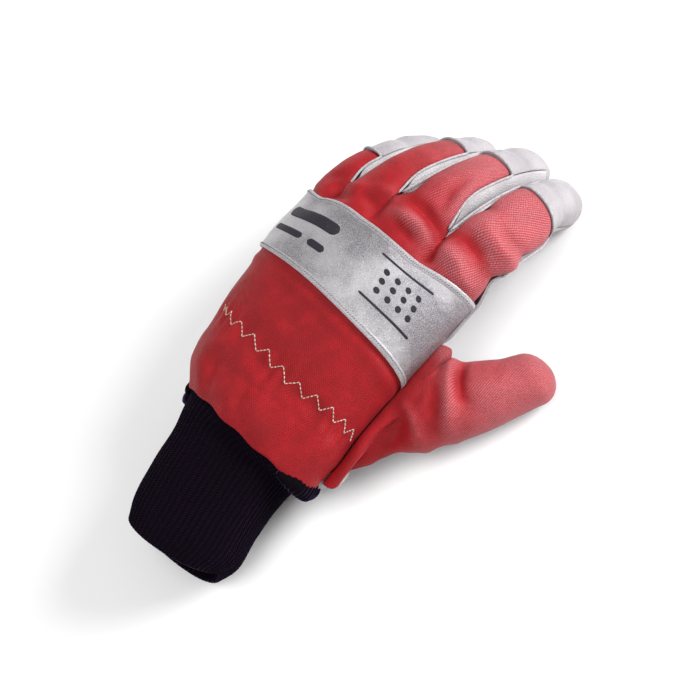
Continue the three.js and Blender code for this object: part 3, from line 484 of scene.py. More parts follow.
def loop_point(turn):
    is_back = turn <= 0.5
    v = lerp(THUMB_FROM, THUMB_TO, folded(turn))
    drop = np.where(is_back, 0, thumb_drop(v))
    right = side_seam(v)[1]
    return vec(right[..., 0] - LOOP_LEAN * drop, hand_y(np.ones_like(v), v), right[..., 2] - drop)


def thumb_spine(share):
    x, y, z = THUMB_ROOT[0] * HAND_WIDTH, THUMB_ROOT[1] * HAND_LENGTH, THUMB_ROOT[2] * HAND_HEIGHT
    return vec(x + along(THUMB_SECTIONS, "out", share) * THUMB_LENGTH,
               y + along(THUMB_SECTIONS, "ahead", share) * THUMB_LENGTH,
               lerp(z, THUMB_DEPTH / 2 - FLATTENING, along(THUMB_SECTIONS, "fall", share)))


def thumb_ring(share, turn):
    past = np.clip((share - 1 + THUMB_DOME) / THUMB_DOME, 0, 1)
    girth = np.sqrt(np.maximum(1 - past * past, 0))
    yaw = np.radians(along(THUMB_SECTIONS, "yaw", share))
    across, rise = superellipse(math.pi * (1 - 2 * turn), SOFT_ROUNDNESS)
    width = along(THUMB_SECTIONS, "width", share) * THUMB_WIDTH * girth / 2
    depth = along(THUMB_SECTIONS, "depth", share) * THUMB_DEPTH * girth / 2
    return thumb_spine(share) + vec(-np.cos(yaw) * width * across, np.sin(yaw) * width * across, depth * rise)


THUMB_SEAM_DROP = 0.09  # share of the girth by which the wrist side's seam lies lower than its middle
THUMB_RECESS = 1.0  # how far the base draws in beside the wrist
RECESS_WAY = np.array([-0.3, 0.95, 0])
THUMB_EAR = 3.2  # how far the base stands out beside the band
EAR_WAY = np.array([0.62, 0.78, 0])


def thumb_point(share, turn):
    share, turn = together(share, turn)
    change = loop_point(turn) - thumb_ring(np.zeros_like(share), turn)
    lowered = turn - THUMB_SEAM_DROP * np.abs(1 - 2 * turn) * smooth(0.05, 0.3, share)
    from_wrist = np.minimum(turn, 1 - turn)
    recess = THUMB_RECESS * hump(from_wrist, 0.09) * arch((share - 0.04) / 0.36)
    ear = THUMB_EAR * hump(turn - 0.5, 0.1) * arch(share / 0.34) ** 0.8
    point = thumb_ring(share, lowered) + change * (1 - smooth(0, THUMB_FREE, share))[..., None]
    return point + recess[..., None] * RECESS_WAY + ear[..., None] * EAR_WAY


def thumb_inward(share, turn):
    share, turn = together(share, turn)
    v = lerp(THUMB_FROM, THUMB_TO, folded(turn))
    tip = -unit(thumb_spine(np.ones_like(share)) - thumb_spine(np.full_like(share, 0.9)))
    from_surface = inward_normal(thumb_point, np.clip(share, 0.02, NEAR_TIP), turn)
    from_surface = unit(mix(from_surface, tip, smooth(0.99, 1, share)))
    to_spine = unit(thumb_spine(share) - thumb_point(share, turn))
    from_seam = 0.25 - np.abs(0.25 - turn % 0.5)
    inward = mix(to_spine, from_surface, smooth(0, 0.14, from_seam))
    at_loop = np.where((turn <= 0.5)[..., None], loop_inward(v, True), loop_inward(v, False))
    return unit(mix(at_loop, inward, smooth(0, 0.22, share)))


# Cuff

def cuff_side(turn):
    turn = turn % 1
    return turn <= 0.5, folded(turn)


def cuff_ring(share, turn):
    is_back, u = cuff_side(turn)
    across, rise = soft_arc(u)
    half_depth = along(CUFF_SECTIONS, "depth", share) * CUFF_DEPTH / 2
    half_width = along(CUFF_SECTIONS, "width", share) * CUFF_WIDTH / 2
    bulge = CUFF_END_BULGE * rise * (1 - smooth(0, 0.6, share))
    return vec(along(CUFF_SECTIONS, "x", share) * HAND_WIDTH + half_width * across,
               lerp(-CUFF_LENGTH, hand_y(u, 0 * u), share) - bulge,
               CUFF_DEPTH / 2 - FLATTENING / 3 + np.where(is_back, 1, -1) * half_depth * rise)


def tucked_point(depth, turn):
    is_back, u = cuff_side(turn)
    v = depth / HAND_LENGTH + 0 * u
    edge = np.clip(u, NEAR_SEAM, 1 - NEAR_SEAM)
    wall = np.maximum(np.where(is_back, back_wall(edge, v), LEATHER_WALL), SEAM_WALL) + CUFF_GAP
    back = hand_point(edge, v, True) + hand_inward(edge, v, True) * wall[..., None]
    front = hand_point(edge, v, False) + hand_inward(edge, v, False) * wall[..., None]
    return np.where(is_back[..., None], back, front)


# Relief that the CAD leaves to this script

CELL_FACTORS = np.array([374761393, 668265263, 2147483647])  # large odd numbers that scatter the cells
SEED_FACTOR = 1274126177
HASH_MASK = 0xFFFFFF


def hashed(cells, seed):
    """A number from 0 to 1 for each whole-numbered cell."""
    n = (cells * CELL_FACTORS).sum(-1) + seed * SEED_FACTOR
    n = (n ^ (n >> 13)) * SEED_FACTOR
    return ((n ^ (n >> 16)) & HASH_MASK) / HASH_MASK


def noise(points, size, seed):
    """Smooth noise from -1 to 1 whose lumps are about size millimetres across."""
    place_at = np.asarray(points, float) / size
    low = np.floor(place_at).astype(np.int64)
    t = place_at - low
    t = t * t * (3 - 2 * t)
    total = 0
    for corner in range(8):
        step = np.array([corner & 1, corner >> 1 & 1, corner >> 2 & 1])
        weight = np.prod(np.where(step == 1, t, 1 - t), -1)
        total = total + weight * hashed(low + step, seed)
    return total * 2 - 1


def path_distance(points, path):
    """Distance in plan from points to a line, and the share of the line at the nearest place."""
    best = np.full(points.shape[:-1], 1e9)
    where = np.zeros(points.shape[:-1])
    path = np.array(path, float)
    for k in range(len(path) - 1):
        a, b = path[k], path[k + 1]
        d = b - a
        t = np.clip(((points[..., :2] - a) @ d) / (d @ d), 0, 1)
        away = np.linalg.norm(points[..., :2] - a - t[..., None] * d, axis=-1)
        where = np.where(away < best, (k + t) / (len(path) - 1), where)
        best = np.minimum(best, away)
    return best, where


def marks_relief(points, marks):
    """Height of folds (above 0) and creases (below 0) at points."""
    total = np.zeros(points.shape[:-1])
    for height, width, path in marks:
        away, where = path_distance(points, path)
        ends = 0.55 + 0.45 * arch(where)
        total += height * ends * hump(away, width)
    return total


# Each mark is a fold or crease: height, width, line in plan, millimetres
BACK_MARKS = [
    (3.0, 4.4, [(4, 117), (12, 119), (20, 119), (28, 116)]),
    (-3.6, 3.4, [(10, 128), (17, 127.5), (24, 125), (30, 121)]),
    (-2.6, 2.2, [(31, 119), (32.5, 115), (33.5, 109)]),
    (-1.6, 2.6, [(8, 116), (15, 114), (22, 112)]),
    (2.8, 4.2, [(38, 116), (45, 113.5), (52, 109)]),
    (-4.0, 4.8, [(36, 126), (43, 126), (50, 124), (56, 119.5)]),
    (2.4, 5.0, [(45, 136), (52, 133), (59, 128)]),
    (-2.2, 3.2, [(50, 139.5), (56, 138.5), (62, 137)]),
    (2.0, 3.6, [(56, 132), (61, 130)]),
    (-2.0, 3.2, [(24, 134), (22.5, 142), (22.5, 151)]),
    (1.4, 4.2, [(29, 133), (27, 141), (27, 150)]),
    (-1.6, 3.6, [(33, 145), (38, 147), (42, 146)]),
    (-1.8, 3.0, [(1, 129), (3, 134), (4, 140)]),
    (1.6, 3.6, [(-10, 126), (-3, 127), (2, 124)]),
    (-1.8, 3.0, [(-14, 119), (-8, 118), (-2, 116)]),
    (1.4, 4.0, [(-27, 120), (-20, 121), (-14, 120)]),
    (-1.6, 3.2, [(-33, 118), (-27, 114), (-21, 113)]),
    (-1.4, 3.4, [(-40, 122), (-36, 124), (-33, 128)]),
    (-1.6, 4.5, [(14, 24), (22, 23), (31, 22)]),
    (-1.5, 4.0, [(-16, 29), (-8, 26), (-2, 22)]),
    (2.0, 6.0, [(33, 14), (38, 10)]),
    (-1.5, 3.6, [(27, 17), (25, 9), (23, 2)]),
    (-1.8, 4.0, [(-31, 18), (-29, 9), (-28, 2)]),
    (1.2, 6.0, [(-40, 18), (-38, 8)]),
    (-1.2, 3.4, [(-10, 17), (-8, 9), (-6, 3)]),
    (1.1, 5.0, [(0, 16), (4, 6)]),
    (0.9, 9.0, [(30, 45), (36, 52), (40, 58)]),
    (-0.8, 7.0, [(-20, 60), (-5, 50), (8, 44)]),
]
THUMB_MARKS = [
    (-3.6, 5.0, [(54, 26), (57, 32), (57, 39)]),
    (2.0, 3.6, [(53, 50), (61, 46), (67, 41), (71, 39)]),
    (-1.3, 3.0, [(64, 63), (68, 57), (72, 49)]),
    (-0.8, 2.2, [(60, 66), (64, 59), (67, 52)]),
    (2.6, 3.8, [(56, 81), (63, 74), (71, 63), (77, 52)]),
    (-3.4, 3.0, [(65, 79), (69, 73), (74, 67)]),
    (-1.4, 4.0, [(75, 68), (79, 64)]),
    (2.2, 5.0, [(50, 85), (54, 80)]),
    (-1.5, 7.0, [(76, 84), (84, 88)]),
    (0.7, 6.0, [(84, 74), (90, 80)]),
]


def back_folds(points, u, v):
    """Folds, puckers and small unevenness of the padded back."""
    total = marks_relief(points, BACK_MARKS)
    line = along(GATHER_LINE, "height", u)
    below = (line - v) * HAND_LENGTH
    inside = smooth(0.1, 0.25, u) * (1 - smooth(0.9, 0.98, u))
    pucker = np.sin(u * 95 + 2.1 * np.sin(u * 23)) * hump(below - 3, 6.5)
    total += 0.45 * inside * pucker
    stretch = vec(points[..., 0], points[..., 1] * 0.45, 0 * v)
    total += 0.7 * noise(stretch, 13, 3) * smooth(-2, 12, below) * inside
    total += 0.35 * noise(points, 17, 5) + 0.14 * noise(points, 6, 7)
    return total


def held_flat(u, v):
    """1 where the band lies, 0 a few millimetres away from it."""
    inside = np.minimum(v - along(BAND_EDGES, "low", u), along(BAND_EDGES, "high", u) - v) * HAND_LENGTH
    return smooth(-4.5, 0, inside)


# How far the wrist edge reaches over the knit, millimetres
HEM_LINE = {
    "at": [0, 0.08, 0.2, 0.32, 0.45, 0.6, 0.75, 0.88, 1],
    "reach": [-4.0, -3.4, -1.6, -1.2, 1.2, 3.2, 4.2, 2.8, 1.0],
}


def hem_wave(u, v):
    """How the wrist edge swings toward the cuff and back."""
    reach = along(HEM_LINE, "reach", u) + 0.5 * np.sin(u * 41 + 2.0)
    return reach * (1 - smooth(0, PUFF_SHARE, v))


EDGE_DIVE = 0.9  # how deep sewn edges sink
EDGE_REACH = 1.5  # and from how far away
BACK_GIRTH = 135  # from side seam to side seam
PULL_WINDOW = 0.09  # share of the girth, to each side, over which the band pulls the back straight


def edge_dive(away):
    """Sewn edges sink into their seam."""
    return -EDGE_DIVE * hump(away, EDGE_REACH)


def bridged(u, v):
    """The back as the band pulls it, straight across the valleys between the knuckles."""
    window = np.minimum(PULL_WINDOW, np.minimum(u, 1 - u))
    spread = np.linspace(-1, 1, 7)
    weights = 1 - 0.6 * np.abs(spread)
    total = sum(w * hand_point(u + d * window, v, True) for w, d in zip(weights, spread)) / weights.sum()
    return total - hand_inward(u, v, True) * (0.9 * window / PULL_WINDOW)[..., None]


def back_skin(u, v):
    """Point and outward direction of the back's visible surface."""
    u, v = together(u, v)
    point = mix(hand_point(u, v, True), bridged(u, v), held_flat(u, v))
    outward = -hand_inward(u, v, True)
    below = (along(BAND_EDGES, "low", u) - v) * HAND_LENGTH
    puff = 0.9 * hump(below - 6, 3.5)
    height = (back_folds(point, u, v) + puff) * (1 - held_flat(u, v))
    height += edge_dive(np.minimum(u, 1 - u) * BACK_GIRTH)
    point = point + outward * height[..., None]
    point[..., 1] -= hem_wave(u, v)
    return point, outward


def finger_skin(i, share, across):
    """The same on the red part of a finger's back."""
    finger = FINGERS[i]
    share, across = together(share, across)
    point = finger_point(i, share, across, True)
    outward = -row_inward(i, across, True, share)
    arc = finger_girth(finger, True)
    from_row = share * finger["length"]
    side = np.minimum(across, 1 - across) * arc + 6 * (1 - smooth(0, 8, from_row))
    if i == 0:
        side = np.where(across < 0.5, across * arc, side)
    if i == len(FINGERS) - 1:
        side = np.where(across > 0.5, (1 - across) * arc, side)
    end_gap = (finger["red"] - share) * finger["length"]
    folds = back_folds(point, hand_share(i, across), np.ones_like(across))
    height = folds + edge_dive(side) + edge_dive(end_gap)
    return point + outward * height[..., None], outward


# Meshes

def place(points):
    return (np.asarray(points, float) + SHIFT) * MM


def rested(outer, inner, wall):
    """Soft skin that would sink into the ground lies flat on it."""
    outer, inner = outer.copy(), inner.copy()
    outer[..., 2] = np.maximum(outer[..., 2], 0)
    inner[..., 2] = np.maximum(inner[..., 2], 0.9 * wall)
    return outer, inner


def cloth_uv(u, y):
    """Millimetres across the back, from its middle, and along the hand."""
    return np.stack(np.broadcast_arrays((u - 0.5) * BACK_GIRTH, y), -1)


def in_scene(name, data):
    """An object of the scene for a mesh, lamp or camera."""
    made = bpy.data.objects.new(name, data)
    bpy.context.scene.collection.objects.link(made)
    return made


def make_object(name, points, faces, look, corner_uv=None):
    mesh = bpy.data.meshes.new(name)
    mesh.from_pydata(place(points).tolist(), [], faces)
    if corner_uv is not None:
        layer = mesh.uv_layers.new(name="cloth")
        layer.data.foreach_set("uv", np.asarray(corner_uv, np.float32).ravel())
    mesh.polygons.foreach_set("use_smooth", np.ones(len(mesh.polygons), bool))
    mesh.update()
    piece = in_scene(name, mesh)
    mesh.materials.append(look)
    return piece


RIM_STEPS = 4  # faces across a sheet's rounded rim


def open_edges(quads):
    """Edges that only one face has: both ends and the edge's place among all."""
    starts, ends = quads.ravel(), np.roll(quads, -1, 1).ravel()
    real = starts != ends
    keys = set(zip(starts[real].tolist(), ends[real].tolist()))
    return [(s, e, k) for k, (s, e) in enumerate(zip(starts.tolist(), ends.tolist()))
            if s != e and (e, s) not in keys]


def edge_directions(outer, inner, edges):
    """The direction out of the sheet at each point of its open edges."""
    off = np.zeros((len(outer), 3))
    for s, e, _ in edges:
        span = outer[e] - outer[s]
        side = unit(np.cross(span, outer[s] - inner[s])) * np.linalg.norm(span)
        off[s] += side
        off[e] += side
    return unit(off)


def skin_faces(quads, uvs, count):
    """Faces of the outer and the inner skin, and the place on the cloth of each corner."""
    faces, corner_uv = [], []
    for quad, uv in zip(quads.tolist(), uvs.tolist()):
        kept = [k for k in range(4) if quad[k] != quad[(k + 1) % 4]]
        if len(kept) < 3:
            continue
        for order, skin in ((kept, 0), (kept[::-1], count)):
            faces.append([quad[k] + skin for k in order])
            corner_uv += [uv[k] for k in order]
    return faces, corner_uv


def rim_faces(edges, uvs, on_rim, count):
    """The same for the rounded rim that joins the two skins."""
    slot = {v: k for k, v in enumerate(on_rim)}
    edge_uv, next_uv = uvs.reshape(-1, 2), np.roll(uvs, -1, 1).reshape(-1, 2)

    def across(at):
        between = [2 * count + r * len(on_rim) + slot[at] for r in range(RIM_STEPS - 1)]
        return [at, *between, at + count]

    faces, corner_uv = [], []
    for s, e, k in edges:
        left, right = across(s), across(e)
        uv_s, uv_e = edge_uv[k].tolist(), next_uv[k].tolist()
        for r in range(RIM_STEPS):
            faces.append([right[r], left[r], left[r + 1], right[r + 1]])
            corner_uv += [uv_e, uv_s, uv_s, uv_e]
    return faces, corner_uv


class Sheet:
    """A wall with an outer and an inner skin, closed with a rounded rim along its edges."""

    def __init__(self):
        self.outer = []
        self.inner = []
        self.rim = []
        self.relief = []
        self.count = 0
        self.quads = []
        self.uvs = []

    def points(self, outer, inward, wall, rim=0.0, relief=0.0):
        """Adds vertices and returns their numbers. rim is how far an edge there stands out, in walls.

        relief is the height of the folds there, which the red cloth's look turns into a painted highlight on
        ridges and painted shade in creases.
        """
        wall = np.broadcast_to(np.asarray(wall, float), outer.shape[:-1])
        top, under = rested(outer, outer + inward * wall[..., None], wall)
        numbers = self.count + np.arange(wall.size).reshape(wall.shape)
        self.outer.append(top.reshape(-1, 3))
        self.inner.append(under.reshape(-1, 3))
        self.rim.append(np.broadcast_to(np.asarray(rim, float), wall.shape).ravel())
        self.relief.append(np.broadcast_to(np.asarray(relief, float), wall.shape).ravel())
        self.count += wall.size
        return numbers

    def patch(self, numbers, uv):
        def corners(a):
            return np.stack([a[:-1, :-1], a[:-1, 1:], a[1:, 1:], a[1:, :-1]], 2)

        self.quads.append(corners(numbers).reshape(-1, 4))
        self.uvs.append(corners(uv).reshape(-1, 4, 2))

    def build(self, name, look):
        quads, uvs = np.concatenate(self.quads), np.concatenate(self.uvs)
        outer, inner = np.concatenate(self.outer), np.concatenate(self.inner)
        a, b, c = outer[quads[:, 0]], outer[quads[:, 1]], outer[quads[:, 2]]
        if dot(np.cross(b - a, c - a), a - inner[quads[:, 0]]).sum() < 0:
            quads, uvs = quads[:, ::-1], uvs[:, ::-1]
        edges = open_edges(quads)
        on_rim = sorted({s for s, _, _ in edges} | {e for _, e, _ in edges})
        half = (outer[on_rim] - inner[on_rim]) / 2
        middle = (outer[on_rim] + inner[on_rim]) / 2
        reach = (np.linalg.norm(half, axis=-1) * np.concatenate(self.rim)[on_rim])[:, None]
        off = edge_directions(outer, inner, edges)[on_rim]
        rings = []
        for angle in math.pi * np.arange(1, RIM_STEPS) / RIM_STEPS:
            rings.append(middle + half * math.cos(angle) + off * reach * math.sin(angle))
        points = np.vstack([outer, inner, *rings])
        points[:, 2] = np.maximum(points[:, 2], 0)
        faces, corner_uv = skin_faces(quads, uvs, len(outer))
        more, more_uv = rim_faces(edges, uvs, on_rim, len(outer))
        piece = make_object(name, points, faces + more, look, corner_uv + more_uv)
        relief = np.concatenate(self.relief)
        values = np.r_[relief, relief, np.tile(relief[on_rim], RIM_STEPS - 1)]
        layer = piece.data.attributes.new("relief", "FLOAT", "POINT")
        layer.data.foreach_set("value", values.astype(np.float32))
        return piece


BAR_END = 0.4  # size of a bar's ends as a share of its radius


def swept(paths, radius, sides):
    """Points and faces of round bars along paths, each a list of points, narrowing at the ends."""
    points, faces = [], []
    base = 0
    for path in paths:
        path = np.asarray(path, float)
        ahead = unit(np.gradient(path, axis=0))
        seed = np.array([0, 0, 1.0]) if abs(ahead[0][2]) < 0.9 else np.array([1.0, 0, 0])
        outward = unit(seed - ahead[0] * (seed @ ahead[0]))
        count = len(path)
        angles = np.arange(sides) * 2 * math.pi / sides
        for k in range(count):
            outward = unit(outward - ahead[k] * (outward @ ahead[k]))
            across = np.cross(ahead[k], outward)
            size = radius * (BAR_END if k in (0, count - 1) else 1)
            ring = outward * np.cos(angles)[:, None] + across * np.sin(angles)[:, None]
            points.append(path[k] + ring * size)
        for k in range(count - 1):
            for s in range(sides):
                t = (s + 1) % sides
                low, high = base + k * sides, base + (k + 1) * sides
                faces.append([low + s, low + t, high + t, high + s])
        faces.append([base + s for s in reversed(range(sides))])
        faces.append([base + (count - 1) * sides + s for s in range(sides)])
        base += count * sides
    return np.vstack(points), faces


# Looks

class Look:
    """A material whose nodes are made and joined in one call each."""

    def __init__(self, name, **settings):
        self.material = bpy.data.materials.new(name)
        self.material.use_nodes = True
        self.tree = self.material.node_tree
        self.shader = self.tree.nodes["Principled BSDF"]
        for key, value in settings.items():
            self.shader.inputs[key.replace("_", " ").title().replace("Ior", "IOR")].default_value = value

    def node(self, kind, settings=None, output=0, **sockets):
        made = self.tree.nodes.new(kind)
        for key, value in (settings or {}).items():
            setattr(made, key, value)
        for key, value in sockets.items():
            name = int(key[1:]) if key[0] == "_" else key.replace("_", " ").title()
            self.join(made.inputs[name], value)
        return made.outputs[output]

    def join(self, socket, value):
        if isinstance(value, bpy.types.NodeSocket):
            self.tree.links.new(value, socket)
        else:
            socket.default_value = value

    def maths(self, operation, a, b=0.0, c=0.0):
        return self.node("ShaderNodeMath", {"operation": operation}, _0=a, _1=b, _2=c)

    def ramp(self, value, low, high, to_low=0.0, to_high=1.0):
        return self.node("ShaderNodeMapRange", {"interpolation_type": "SMOOTHSTEP"},
                         _0=value, _1=low, _2=high, _3=to_low, _4=to_high)

    def blend(self, share, a, b):
        """Colour a where share is 0, b where it is 1."""
        made = self.tree.nodes.new("ShaderNodeMix")
        made.data_type = "RGBA"
        for socket, value in ((0, share), (6, a), (7, b)):
            self.join(made.inputs[socket], value)
        return made.outputs[2]

    def cloth_axes(self, turn=0.0):
        """Millimetres along two axes of the cloth."""
        uv = self.node("ShaderNodeUVMap", {"uv_map": "cloth"})
        turned = self.node("ShaderNodeVectorRotate", {"rotation_type": "Z_AXIS"}, Vector=uv, Angle=turn)
        parts = self.tree.nodes.new("ShaderNodeSeparateXYZ")
        self.tree.links.new(turned, parts.inputs[0])
        return parts.outputs[0], parts.outputs[1]

    def here(self):
        """Object coordinates in millimetres."""
        place = self.node("ShaderNodeTexCoord", output=3)
        return self.node("ShaderNodeVectorMath", {"operation": "SCALE"}, _0=place, Scale=1 / MM)

    def noise(self, where, scale, detail=2.0, rough=0.5):
        return self.node("ShaderNodeTexNoise", Vector=where, Scale=scale, Detail=detail, Roughness=rough)

    def bump(self, height, distance, strength=1.0, normal=None):
        extra = {"Normal": normal} if normal is not None else {}
        return self.node("ShaderNodeBump", Height=height, Distance=distance * MM, Strength=strength, **extra)

    def finish(self, color=None, roughness=None, normal=None):
        for name, value in (("Base Color", color), ("Roughness", roughness), ("Normal", normal)):
            if value is not None:
                self.join(self.shader.inputs[name], value)
        return self.material


def wave(look, value, pitch):
    """A sine from 0 to 1 along a millimetre coordinate."""
    angle = look.maths("MULTIPLY", value, 2 * math.pi / pitch)
    return look.maths("MULTIPLY_ADD", look.maths("SINE", angle), 0.5, 0.5)


def cloth_look():
    look = Look("red_twill", sheen_weight=0.03, sheen_roughness=0.5, specular_ior_level=0.17)
    look.shader.inputs["Sheen Tint"].default_value = (1.0, 0.72, 0.76, 1)
    where = look.here()
    x, y = look.cloth_axes(math.radians(31))
    threads = wave(look, x, 1.0)
    row = wave(look, look.maths("MULTIPLY_ADD", x, 0.35, y), 1.0)
    weave = look.maths("MULTIPLY_ADD", threads, 0.72, look.maths("MULTIPLY", row, 0.36))
    coarse = look.noise(where, 0.09, 3.0, 0.6)
    fine = look.noise(where, 1.6, 2.0, 0.6)
    red = look.blend(look.ramp(coarse, 0.35, 0.68), (0.27, 0.0020, 0.0050, 1), (0.34, 0.0032, 0.0075, 1))
    thread = look.maths("MULTIPLY", look.ramp(weave, 0.2, 1.0, 0.25, 1.0),
                        look.ramp(fine, 0.3, 0.7, 0.4, 1.0))
    # Painted highlight: the red turns pale pink toward the thumb and the fingers, the side the key light
    # comes from, and on raised folds; creases stay deep red, a painted shade.
    axes = look.tree.nodes.new("ShaderNodeSeparateXYZ")
    look.join(axes.inputs[0], where)
    from_wrist = look.maths("MULTIPLY_ADD", axes.outputs[0], 0.76,
                            look.maths("MULTIPLY", axes.outputs[1], 0.58))
    relief = look.node("ShaderNodeAttribute", {"attribute_name": "relief"}, output=2)
    painted_highlight_score = look.maths("MULTIPLY_ADD", relief, 9.0, from_wrist)
    painted_highlight = look.ramp(look.maths("MULTIPLY_ADD", coarse, 16.0, painted_highlight_score), 24, 72, 0.04, 0.72)
    # (0.60, 0.27, 0.30) is the painted highlight's pale pink, laid on the weave's threads.
    color = look.blend(look.maths("MULTIPLY", thread, painted_highlight), red, (0.60, 0.27, 0.30, 1))
    rough = look.ramp(fine, 0.3, 0.7, 0.42, 0.54)
    bumped = look.bump(look.maths("MULTIPLY_ADD", fine, 0.5, weave), 0.18)
    return look.finish(color, rough, bumped)


def band_look():
    look = Look("silver_cloth", metallic=0.85, specular_ior_level=0.5)
    where = look.here()
    speckle = look.noise(where, 2.3, 3.0, 0.7)
    cloud = look.noise(where, 0.05, 2.0, 0.5)
    grey = look.blend(look.ramp(cloud, 0.35, 0.65), (0.20, 0.185, 0.205, 1), (0.45, 0.43, 0.45, 1))
    color = look.blend(look.ramp(speckle, 0.35, 0.75, 0.0, 0.8), grey, (0.74, 0.72, 0.75, 1))
    x, y = look.cloth_axes()
    weave = look.maths("MULTIPLY", wave(look, x, 0.5), wave(look, y, 0.5))
    height = look.maths("MULTIPLY_ADD", speckle, 0.8, weave)
    crumple = look.bump(look.noise(where, 0.25, 3.0, 0.6), 0.9, 0.6)
    return look.finish(color, look.ramp(speckle, 0.3, 0.7, 0.27, 0.42), look.bump(height, 0.1, 1.0, crumple))


def hem_look():
    look = Look("band_hem_cloth", metallic=0.35, specular_ior_level=0.5)
    where = look.here()
    speckle = look.noise(where, 1.8, 3.0, 0.7)
    color = look.blend(look.ramp(speckle, 0.35, 0.65), (0.28, 0.265, 0.28, 1), (0.52, 0.50, 0.52, 1))
    return look.finish(color, look.ramp(speckle, 0.3, 0.7, 0.35, 0.5), look.bump(speckle, 0.15))


def leather_look(name, tint=(0.44, 0.415, 0.43), shade=(0.35, 0.325, 0.345)):
    look = Look(name, specular_ior_level=0.35, sheen_weight=0.08)
    where = look.here()
    cloud = look.noise(where, 0.07, 4.0, 0.55)
    pores = look.node("ShaderNodeTexVoronoi", {"feature": "DISTANCE_TO_EDGE"}, Vector=where, Scale=0.85)
    fine = look.noise(where, 1.3, 3.0, 0.6)
    color = look.blend(look.ramp(cloud, 0.32, 0.68), (*shade, 1), (*tint, 1))
    color = look.blend(look.ramp(pores, 0.0, 0.12, 0.28, 0.0), color, tuple(0.62 * c for c in shade) + (1,))
    grain = look.maths("MULTIPLY_ADD", fine, 0.35, look.ramp(pores, 0.0, 0.22))
    normal = look.bump(cloud, 0.8, 0.5, look.bump(grain, 0.12))
    return look.finish(color, look.ramp(fine, 0.3, 0.7, 0.5, 0.66), normal)


def knit_look(name="dark_knit", sheen=0.22):
    look = Look(name, sheen_weight=sheen, sheen_roughness=0.25, specular_ior_level=0.04)
    look.shader.inputs["Sheen Tint"].default_value = (0.30, 0.13, 0.50, 1)
    x, y = look.cloth_axes()
    side = look.maths("ABSOLUTE", look.maths("SUBTRACT", look.maths("FRACT", x), 0.5))
    loops = wave(look, look.maths("MULTIPLY_ADD", side, 1.8, y), 1.15)
    fuzz = look.noise(look.here(), 2.2, 3.0, 0.7)
    height = look.maths("MULTIPLY_ADD", fuzz, 0.8, look.maths("MULTIPLY", loops, 0.6))
    lit = look.maths("MULTIPLY", look.ramp(loops, 0.3, 1.0), look.ramp(fuzz, 0.35, 0.7))
    color = look.blend(lit, (0.0022, 0.0011, 0.0028, 1), (0.013, 0.0055, 0.019, 1))
    return look.finish(color, look.ramp(fuzz, 0.3, 0.7, 0.62, 0.8), look.bump(height, 0.3))


def thread_look(name, color, dark):
    look = Look(name, roughness=0.7, sheen_weight=0.2, specular_ior_level=0.3)
    where = look.here()
    twist = look.node("ShaderNodeTexWave", {"bands_direction": "DIAGONAL"},
                      Vector=where, Scale=0.55, Distortion=0.6)
    stain = look.noise(where, 0.6, 2.0)
    mixed = look.blend(look.ramp(stain, 0.35, 0.65), dark, color)
    color = look.blend(look.maths("MULTIPLY", twist, 0.25), mixed, dark)
    return look.finish(color, None, look.bump(twist, 0.05))


def ink_look():
    look = Look("dark_ink", roughness=0.55, specular_ior_level=0.3)
    where = look.here()
    worn = look.noise(where, 1.5, 4.0, 0.7)
    color = look.blend(look.ramp(worn, 0.58, 0.78, 0.0, 0.5), (0.022, 0.018, 0.028, 1), (0.25, 0.24, 0.27, 1))
    return look.finish(color, look.ramp(worn, 0.3, 0.7, 0.45, 0.65), look.bump(worn, 0.05))


RED = cloth_look()
SILVER = band_look()
LEATHER = leather_look("light_leather")
# Leather painted lighter than the palm's for the strips between the fingers: painted light against the shade
# that falls in those gaps.
LIGHTENED_STRIP_LEATHER = leather_look("strip_leather_painted_lighter", (0.54, 0.52, 0.53), (0.42, 0.40, 0.415))
KNIT = knit_look()
LIP_KNIT = knit_look("dark_knit_edge", 0.9)
WELT = thread_look("welt_cloth", (0.46, 0.43, 0.45, 1), (0.34, 0.31, 0.33, 1))
CREAM = thread_look("cream_thread", (0.66, 0.52, 0.42, 1), (0.50, 0.34, 0.28, 1))
GREY = thread_look("grey_thread", (0.12, 0.11, 0.12, 1), (0.05, 0.045, 0.05, 1))
INK = ink_look()
HEM = hem_look()


def fit_out(piece, slot, *nodes):
    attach(piece, "root")
    if nodes:
        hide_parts(*nodes)
    return piece


def bars(name, paths, radius, sides, look, *nodes):
    """A piece of round bars: piping or stitches."""
    points, faces = swept(paths, radius, sides)
    return fit_out(make_object(name, points, faces, look), "welt_piping", *nodes)


def add_pole(sheet, numbers, point, inward, wall):
    """Ends a round skin in one point, that of the grid's last row."""
    pole = sheet.points(point[-1:, :1], inward[-1:, :1], wall)
    return np.vstack([numbers, np.full((1, numbers.shape[1]), pole[0, 0])])


def add_finger(sheet, hand, i, grid, skin, wall, relief=0.0):
    """A finger's part of a panel, joined to the last row of the hand's part."""
    share, k = grid
    point, outward = skin
    steps = k.shape[1] - 1
    first = hand[-1:, i * steps:(i + 1) * steps + 1]
    numbers = np.vstack([first, sheet.points(point[1:], -outward[1:], wall, 0.0, relief)])
    sheet.patch(numbers, cloth_uv(hand_share(i, k), HAND_LENGTH + share * FINGERS[i]["length"]))


# Back of the hand with the red parts of the fingers

HALF_GAP = SEAM_GAP / 2
SIDE_EDGE = 0.0028  # share of the girth by which a panel stops short of its side seam
STEPS = 36  # columns to a finger
ROWS = 140  # from the wrist to the fingers


def hand_columns(steps):
    spans = zip(FINGER_SHARES, FINGER_SHARES[1:])
    parts = [np.linspace(start, end, steps, endpoint=False) for start, end in spans]
    return np.clip(np.r_[np.concatenate(parts), 1.0], SIDE_EDGE, 1 - SIDE_EDGE)


def cap_start(finger):
    """Where the palm and the strips end and the leather tip begins."""
    return 1 - (CAP_LENGTH + HALF_GAP) / finger["length"]


def inset(finger, across, is_back, share):
    edge = HALF_GAP / finger_girth(finger, is_back) * smooth(0, 2 / finger["length"], share)
    return np.clip(across, edge, 1 - edge)


